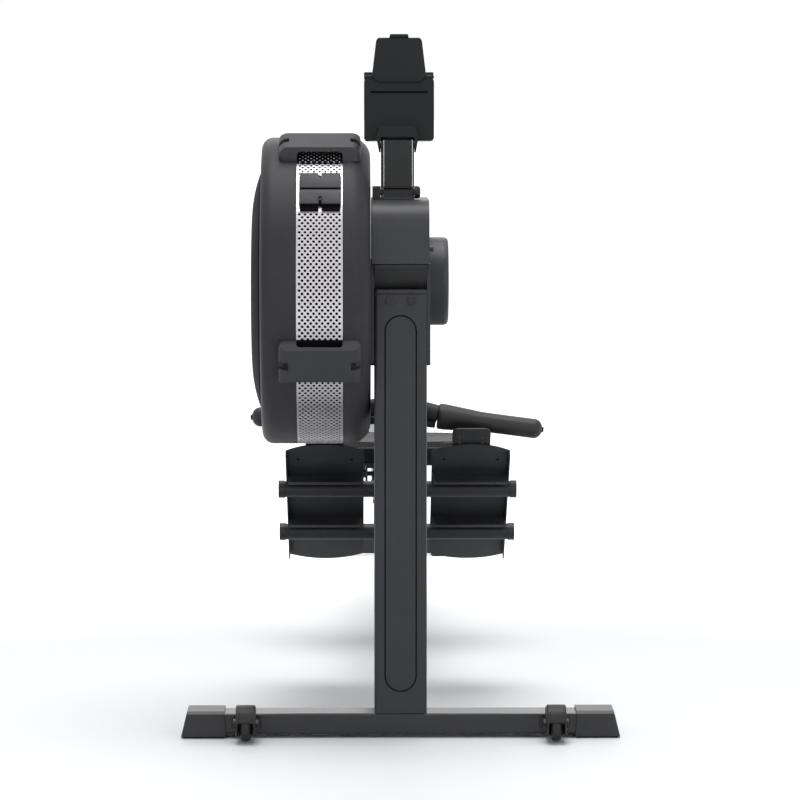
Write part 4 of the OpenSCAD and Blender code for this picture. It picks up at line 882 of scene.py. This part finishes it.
# painted shade: a near-black line laid in the post's groove, where the groove is shaded
def makeGroove():
    groove = {"z": 341.0, "width": 45.0, "length": 545.0, "line": 1.9, "front": 0.25, "back": 0.95}
    z, rise, loops = groove["z"], (groove["length"] - groove["width"]) / 2, []
    for grow in (groove["line"], -groove["line"]):
        w = (groove["width"] + grow) / 2
        loops.append(arc(0, z + rise, w, 0, 180, 28) + arc(0, z - rise, w, 180, 360, 28))
    line = prism("grooveShadeLine", loops[0], "y", groove["front"], groove["back"])
    cutOut(line, prism("lineTool", loops[1], "y", -3, 4))
    fit(line, "frame", "paintedShadeBlack")


footFrame = leaning((0, 398, 325), -42)  # the foot plates' slope, at the upper cross tube


# foot straps and their buckles
def makeFootStraps():
    strap = {"x": 112, "y": 20, "z": 15.6, "radius": 56.0, "thick": 2.1, "width": 38.0, "buckle": 38,
             "tail": (46, 112), "bars": (-6.2, 6.2), "seam": 0.45}
    x, y, z, r, t, w = (strap[k] for k in ("x", "y", "z", "radius", "thick", "width"))
    first, last = strap["tail"]
    straps, stitches, buckles = [], [], []
    straps += bothSides(prism("footStrap", ringPart(x, z, r, r - t, 0, 180, 44), "y", y - w / 2, y + w / 2,
                              0.5, 2, 40))
    tail = ringPart(x, z, r + t - 0.1, r + 0.1, first, last, 18)
    straps += bothSides(prism("strapTail", tail, "y", y - w / 2 + 1, y + w / 2 - 1, 0.5, 2, 40))
    for side in (-1, 1):
        edge = y + side * (w / 2 - 3.2)
        for layer, start, end in ((r + 0.12, 2, 40), (r + t, first + 2, last - 2), (r + 0.12, 116, 178)):
            seam = ringPart(x, z, layer + 0.25, layer - 0.3, start, end, 20)
            stitches += bothSides(prism("strapStitch", seam, "y", edge - strap["seam"], edge + strap["seam"]))
    body = prism("strapBuckle", roundedBox(x, y, 27, w + 7, 3.5), "z", z + r - 0.4, z + r + 4.0, 1.1)
    for offset in strap["bars"]:
        opening = roundedBox(x + offset, y, 6.6, w - 1.5, 1.6)
        cutOut(body, prism("slotTool", opening, "z", z + r - 5, z + r + 9))
    lever = prism("buckleLever", roundedBox(x - 1.5, y, 17, w - 6, 2.5), "z", z + r + 3.2, z + r + 5.2, 0.8)
    for piece in (body, lever):
        buckles += bothSides(turn(piece, strap["buckle"], "Y", at(x, y, z)))
    carry(straps + stitches + buckles, footFrame)
    fit(joined("footStraps", straps), "frame", "webbing", ["foot_straps"], smooth=40)
    fit(joined("footStrapStitches", stitches), "frame", "buttonRubber", smooth=40)
    fit(joined("footStrapBuckles", buckles), "frame", "housingPlastic")
    print("foot straps ready")


# fits a right piece on the slope, and its twin on the left
def fitPair(right, leftName, bodies, finish, replaced):
    pair = bothSides(right)
    pair[1].name = pair[1].data.name = leftName
    carry(pair, footFrame)
    for obj, body, node in zip(pair, bodies, replaced):
        fit(obj, body, finish, [node])


# folded foot plates
def makeFootPlates():
    plate = {"x": 112.0, "half": 60.0, "taper": 2.2, "top": -96.0, "topRadius": 114.0, "low": 201.5,
             "lowRadius": 136.0, "face": 12.6, "thick": 3.0, "flange": 10.0, "flangeEnds": (17.0, 12.0),
             "flangeWall": 2.2, "tube": 12.6, "tubes": (0.0, 111.5), "rivets": (-59.5, -23.5), "rivet": 41.0,
             "ring": [(2.0, -2.1), (2.6, -2.4), (3.4, -1.5), (3.4, 1.5), (2.6, 2.4), (2.0, 2.1), (2.0, -2.1)]}
    x, half, low, top, wall = (plate[k] for k in ("x", "half", "low", "top", "flangeWall"))
    face, narrow = plate["face"], half - plate["taper"]
    back = face + plate["thick"]
    spread, right, left = [math.degrees(math.asin(a / b)) for a, b in (
        (half, plate["topRadius"]), (narrow, plate["lowRadius"]), (half, plate["lowRadius"]))]
    outline = arc(x, top + plate["topRadius"], plate["topRadius"], 270 - spread, 270 + spread, 18)
    outline += arc(x, low - plate["lowRadius"], plate["lowRadius"], 90 - right, 90 + left, 18)
    sheet = prism("footPlate", outline, "z", face, back, 0.7)
    first, last = top + plate["flangeEnds"][0], low - plate["flangeEnds"][1]
    side = [(x + half - wall, first), (x + half, first), (x + narrow, last), (x + narrow - wall, last)]
    flange = prism("plateFlange", side, "z", face - plate["flange"], back - 0.2, 0.5)
    folds, lips, rings, holes = [], [], [], []
    start, end = x - half + 2, x + half - 3
    for tube in plate["tubes"]:
        edge = tube - plate["tube"] - 11
        cutOut(flange, lathe("tubeTool", rod(plate["tube"], -half - 9, half + 9), at(x, tube, 0)))
        folds.append(slab("plateFold", (start, edge - 3, -8), (end, edge, face + 1), 0.6))
        lips.append(slab("foldLip", (start, edge - 7, -9.6), (end, edge, -7.6), 0.6))
    for off in (-plate["rivet"], plate["rivet"]):
        for y in plate["rivets"]:
            place = at(x + off, y, (face + back) / 2)
            rings.append(lathe("rivetRing", plate["ring"], place, (0, 0, 1), 24))
            # near-black cores fill the rivet holes: painted shade
            holes.append(lathe("rivetCore", rod(2.1, -1.7, 1.7), place, (0, 0, 1), 20))
    fitPair(joined("footPlateRight", [sheet, flange] + folds), "footPlateLeft", ("frame", "frame"),
            "plateSteel", ("foot_plate_right", "foot_plate_left"))
    for name, made, finish in (("plateRivets", rings, "armSteel"), ("rivetHoleShade", holes, "paintedShadeBlack"),
                               ("foldLips", lips, "frameSteel")):
        both = joined(name, bothSides(joined(name, made)))
        carry([both], footFrame)
        fit(both, "frame", finish)
    print("foot plates ready")


# sliding heel holders
def makeFootHolders():
    holder = {"x": 112.0, "low": 15.9, "thick": 4.0, "half": 29.2, "top": -129.5, "corner": 10.0,
              "heel": 125.5, "radius": 42.0, "wall": 3.5, "height": 38.0, "row": 17.4, "first": -108.5,
              "pitch": 11.2, "holes": 9, "hole": 2.3, "waist": [(0, 66), (1.4, 80), (4.8, 94)],
              "ribs": (-9, 0, 9), "slant": 22}
    x, low, a, r, heel = (holder[k] for k in ("x", "low", "half", "radius", "heel"))
    high, c, top = low + holder["thick"], holder["corner"], holder["top"]
    outline = [(x + a + out, y) for out, y in holder["waist"]] + arc(x, heel, r, -28, 208, 44)
    outline += [(x - a - out, y) for out, y in reversed(holder["waist"])]
    outline += arc(x - a + c, top + c, c, 180, 270, 7) + arc(x + a - c, top + c, c, 270, 360, 7)
    plate = prism("heelHolder", outline, "z", low, high, 0.9)
    tools = [lathe("holeTool", rod(holder["hole"], -2, 6),
                   at(x + side * holder["row"], holder["first"] + i * holder["pitch"], low), (0, 0, 1), 16)
             for side in (-1, 1) for i in range(holder["holes"])]
    cutOut(plate, joined("holeTools", tools))
    cup = ringPart(x, heel, r, r - holder["wall"], -38, 218, 44)
    wall = prism("heelCup", cup, "z", high - 0.5, high - 0.5 + holder["height"])
    for v in wall.data.vertices:  # the cup's rim falls away towards the toes
        if v.co.z > (high + 10) * mm:
            back = (v.co.y - at(0, heel - 26, 0).y) / (r * mm)
            v.co.z -= holder["slant"] * mm * (1 - min(1, max(0, back)) ** 0.6)
    bevelled(wall, 1.2, 3, 50)
    ribs = [slab("soleRib", (x + off - 2.2, -18, high - 0.5), (x + off + 2.2, 96, high + 1.6), 0.9)
            for off in holder["ribs"]]
    bodies = ("foot_holder_right", "foot_holder_left")
    fitPair(joined("heelHolderRight", [plate, wall] + ribs), "heelHolderLeft", bodies, "housingPlastic",
            bodies)
    print("foot holders ready")


# a face on the monitor's arm, bright steel strips along its edges that stand in for the light the edges catch
# (painted highlight), and a half sleeve over its lower hinge
def makeArmTrim():
    arm = {"x": -4.0, "y": 52.0, "z": 790.0, "face": (-21.6, 22.4), "low": 8.0, "high": 75.3, "front": 10.1,
           "thick": 0.9, "lines": (-20.3, 21.0), "line": 0.9, "sleeve": (9.2, 9.8), "sleeveEnds": (226, 276),
           "half": 24.3, "cover": 779.6}
    x, y, z, half = arm["x"], arm["y"], arm["z"], arm["half"]
    left, right = arm["face"]
    low, high, back = z + arm["low"], z + arm["high"], y - arm["front"]
    front = back - arm["thick"]
    face = slab("armFace", (x + left, front, low), (x + right, back, high), 0.35)
    fit(face, "monitor_arm", "armSteel")
    # painted highlight: bright steel strips along the face's edges
    edges = [slab("armEdge", (x + across, front - 0.3, low),
                  (x + across + arm["line"], back - 0.1, high), 0.25) for across in arm["lines"]]
    fit(joined("armEdgeHighlights", edges), "monitor_arm", "brightSteel")
    inner, outer = arm["sleeve"]
    ring = ringPart(y, z, outer, inner, *arm["sleeveEnds"], 22)
    sleeve = prism("hingeSleeve", ring, "x", x - half, x + half, 0.15, 2)
    foot = slab("sleeveFoot", (x - half, y - outer, arm["cover"]), (x + half, y - 6.6, z - 7.4), 0.5)
    fit(joined("hingeSleeve", [sleeve, foot]), "frame", "coverPlastic")
    print("arm ready")


# the monitor is modelled upright on the arm's top hinge
monitor = {"x": 2.5, "hinge": (-4, 52, 857.5), "tilt": -4, "back": 36.0, "width": 101.5}
monitorFrame = leaning(monitor["hinge"], monitor["tilt"])


# a nought of six bars on the display
def nought(x, w, height):
    half, deep, thick = height * 0.26, monitor["back"], height * 0.09
    flat, upright = (half - thick * 0.6, thick / 2), (thick / 2, height / 4 - thick * 0.6)
    bars = [(0, height / 2, flat), (0, -height / 2, flat), (half, height / 4, upright),
            (-half, height / 4, upright), (half, -height / 4, upright), (-half, -height / 4, upright)]
    return [slab("displayBar", (x + bx - long, deep - 0.1, w + bw - tall),
                 (x + bx + long, deep + 0.1, w + bw + tall), 0) for bx, bw, (long, tall) in bars]


# window, display, buttons and screws
def makeScreen():
    window = {"width": 83.5, "height": 54.0, "radius": 3.0, "up": 64.0, "film": (70.0, 41.0),
              "large": ((22, 10, 12), (10, 10, 12), (-4, 10, 12), (-16, 10, 12)),
              "small": ((24, -10, 8), (16, -10, 8), (-8, -10, 8), (-16, -10, 8), (-24, -10, 8)),
              "dots": (8.2, 12.2), "buttons": (("left", -26), ("middle", 0), ("right", 26)),
              "key": [(0, 0), (5.8, 0), (6.0, 0.3), (6.0, 5.6), (5.7, 6.4), (5.0, 6.9), (3.6, 7.0), (0, 6.6)],
              "screws": [(x, up) for x in (-42, 42) for up in (17, 68)]}
    x, w, back = monitor["x"], window["up"], monitor["back"]
    glass = prism("screenGlass", roundedBox(x, w, window["width"], window["height"], window["radius"]), "y",
                  back - 2, back, 0.5)
    film = prism("screenFilm", roundedBox(x, w, *window["film"], 1.5), "y", back - 1, back + 0.04)
    marks = []
    for column, row, height in window["large"] + window["small"]:
        marks += nought(x + column, w + row, height)
    for dot in window["dots"]:
        marks.append(slab("displayDot", (x + 2.4, back - 0.1, w + dot - 0.6),
                          (x + 3.8, back + 0.1, w + dot + 0.6), 0))
    for left, right, low, high in ((-33, 33, -0.2, 0.2), (3.8, 4.2, -19, -0.2)):
        marks.append(slab("displayLine", (x + left, back - 0.1, w + low),
                          (x + right, back + 0.08, w + high), 0))
    carry([glass, film] + marks, monitorFrame)
    fit(glass, "monitor", "screenGlass", ["monitor_screen"])
    fit(film, "monitor", "screenFilm")
    fit(joined("screenMarks", marks), "monitor", "screenMarks", smooth=0)
    for name, offset in window["buttons"]:
        key = lathe("monitorButton_" + name, window["key"], at(x + offset, back - 4.7, 22), (0, 1, 0), 48)
        carry([key], monitorFrame)
        fit(key, "button_" + name, "buttonRubber", ["button_" + name])
    heads = [screw("caseScrew", at(x + off, 10.35, up), (0, -1, 0), 2.9, 1.6) for off, up in window["screws"]]
    carry(heads, monitorFrame)
    fit(joined("caseScrews", heads), "monitor", "blackBolt")
    print("monitor ready")


# back plate above the case, with the shelf that a phone stands on
def makePhoneHolder():
    plate = {"base": 98.0, "front": 6.0, "back": 18.0, "case": (10.0, 36.0), "slot": 10.3, "shelf": 50.0,
             "lip": 12.0, "pads": (-28, 28), "groove": 41.3,
             "edge": [(-31, -6), (-38.6, 1), (-39.2, 5), (-33.4, 54), (-32.0, 57.5), (-29.4, 59)]}
    x, z, half, slot, out = monitor["x"], plate["base"], monitor["width"] / 2, plate["slot"], plate["shelf"]
    outline = plate["edge"] + [(-a, b) for a, b in reversed(plate["edge"])]
    outline = [(x + a, z + b) for a, b in outline]
    body = prism("phoneHolder", outline, "y", plate["front"], plate["back"], 2.3, 2)
    front, back = plate["case"]
    cutOut(body, slab("caseTool", (x - 60, front, z - 30), (x + 60, back + 4, z), 0))
    cutOut(body, slab("slotTool", (x - slot, front - 0.3, z + 11.7), (x + slot, front + 4.3, z + 80), 0))
    shelf = slab("phoneShelf", (x - half, front, z), (x + half, out, z + 5), 1.8)
    lip = slab("phoneLip", (x - half, out - 4, z), (x + half, out, z + plate["lip"]), 1.5)
    pads = [slab("phonePad", (x + off - 9, back + 1, z + 4.6), (x + off + 9, out - 5, z + 5.6), 0.4)
            for off in plate["pads"]]
    # a near-black strip along the case's groove: painted shade
    line = slab("caseGrooveShade", (x - plate["groove"], 10.7, 76.7), (x + plate["groove"], 12.2, 79.4), 0.1)
    carry([body, shelf, lip, line] + pads, monitorFrame)
    fit(joined("phoneHolder", [body, shelf, lip]), "monitor", "monitorPlastic",
        ["phone_holder"])
    fit(joined("phonePads", pads), "monitor", "softRubber")
    fit(line, "monitor", "paintedShadeBlack")
    print("phone holder ready")


# seat cushion, swollen by a short cloth simulation, with its hollow, its sewn channel and its piping
def makeCushion():
    seat = {"y": 1000, "low": 320.1, "width": 310.0, "depth": 240.0, "thick": 37.0, "dish": 6.0,
            "corner": 0.62, "points": 64, "inset": 3.0, "edge": 12.0, "voxel": 5.0, "pressure": 4.0,
            "mass": 0.3, "quality": 5, "frames": 20, "cap": 7.0, "channel": 0.80, "channelWide": 0.016,
            "channelDeep": 2.0, "waist": 0.05, "piping": 1.5, "pipingUp": 25, "crown": (18, 14),
            "fill": 0.8}
    hw, hd = seat["width"] / 2 - seat["inset"], seat["depth"] / 2 - seat["inset"]
    outline = []
    for i in range(seat["points"]):
        a = math.tau * i / seat["points"]
        c, s = math.cos(a), math.sin(a)
        across, along = [math.copysign(abs(t) ** seat["corner"], t) for t in (c, s)]
        outline.append((hw * across, seat["y"] + hd * along * (1 + seat["waist"] * s)))
    low, high = seat["low"] + 0.5, seat["low"] + seat["thick"] - 4
    cushion = prism("seatCushion", outline, "z", low, high, seat["edge"], 5)
    modify(cushion, "REMESH", mode="VOXEL", voxel_size=seat["voxel"] * mm)
    before = [v.co.copy() for v in cushion.data.vertices]
    only(cushion)
    cloth = cushion.modifiers.new("cloth", "CLOTH")
    cloth.settings.quality = seat["quality"]
    cloth.settings.mass = seat["mass"]
    cloth.settings.use_pressure = True
    cloth.settings.uniform_pressure_force = seat["pressure"]
    cloth.settings.effector_weights.gravity = 0
    cloth.point_cache.frame_start, cloth.point_cache.frame_end = 1, seat["frames"]
    for frameNumber in range(1, seat["frames"] + 1):
        scene.frame_set(frameNumber)
    bpy.ops.object.modifier_apply(modifier=cloth.name)
    scene.frame_set(1)
    for v, old in zip(cushion.data.vertices, before):
        moved = v.co - old
        if moved.length > seat["cap"] * mm:
            v.co = old + moved.normalized() * seat["cap"] * mm
    modify(cushion, "SUBSURF", levels=1, render_levels=1)
    middle, exponent = at(0, seat["y"], 0), 2 / seat["corner"]
    floorZ, topZ = seat["low"] * mm, (seat["low"] + seat["thick"]) * mm
    start, span = seat["crown"]  # the hollow sets in at this height and is whole so much higher
    for v in cushion.data.vertices:
        share = (abs(v.co.x / (seat["width"] / 2 * mm)) ** exponent
                 + abs((v.co.y - middle.y) / (seat["depth"] / 2 * mm)) ** exponent) ** (1 / exponent)
        upper = min(1, max(0, (v.co.z - floorZ - start * mm) / (span * mm)))
        sink = seat["dish"] * max(0, 1 - share) ** 0.8
        sink += seat["channelDeep"] * math.exp(-((share - seat["channel"]) / seat["channelWide"]) ** 2)
        v.co.z = max(floorZ, min(v.co.z, topZ) - sink * upper * mm)
    piping = copied(cushion)

    def cutLoop(mesh):
        bpy.ops.mesh.select_all(action="SELECT")
        bpy.ops.mesh.bisect(plane_co=(0, 0, floorZ + seat["pipingUp"] * mm), plane_no=(0, 0, 1),
                            clear_inner=True, clear_outer=True)

    only(meshTask(piping, cutLoop))
    bpy.ops.object.convert(target="CURVE")
    piping.data.bevel_depth = seat["piping"] * mm
    piping.data.bevel_resolution = 3
    bpy.ops.object.convert(target="MESH")
    piping = named("seatPiping")
    fit(cushion, "seat", "seatFoam", ["seat_cushion"], smooth=50)
    fit(piping, "seat", "seatPiping", smooth=60)
    print("cushion:", len(cushion.data.polygons), "faces")


makeBand()
makeBridges()
makeClamp()
makeGrips()
makePullStrap()
makeFootStraps()
makeFootPlates()
makeFootHolders()
makeWheels()
makeGroove()
makeArmTrim()
makeScreen()
makePhoneHolder()
makeCushion()
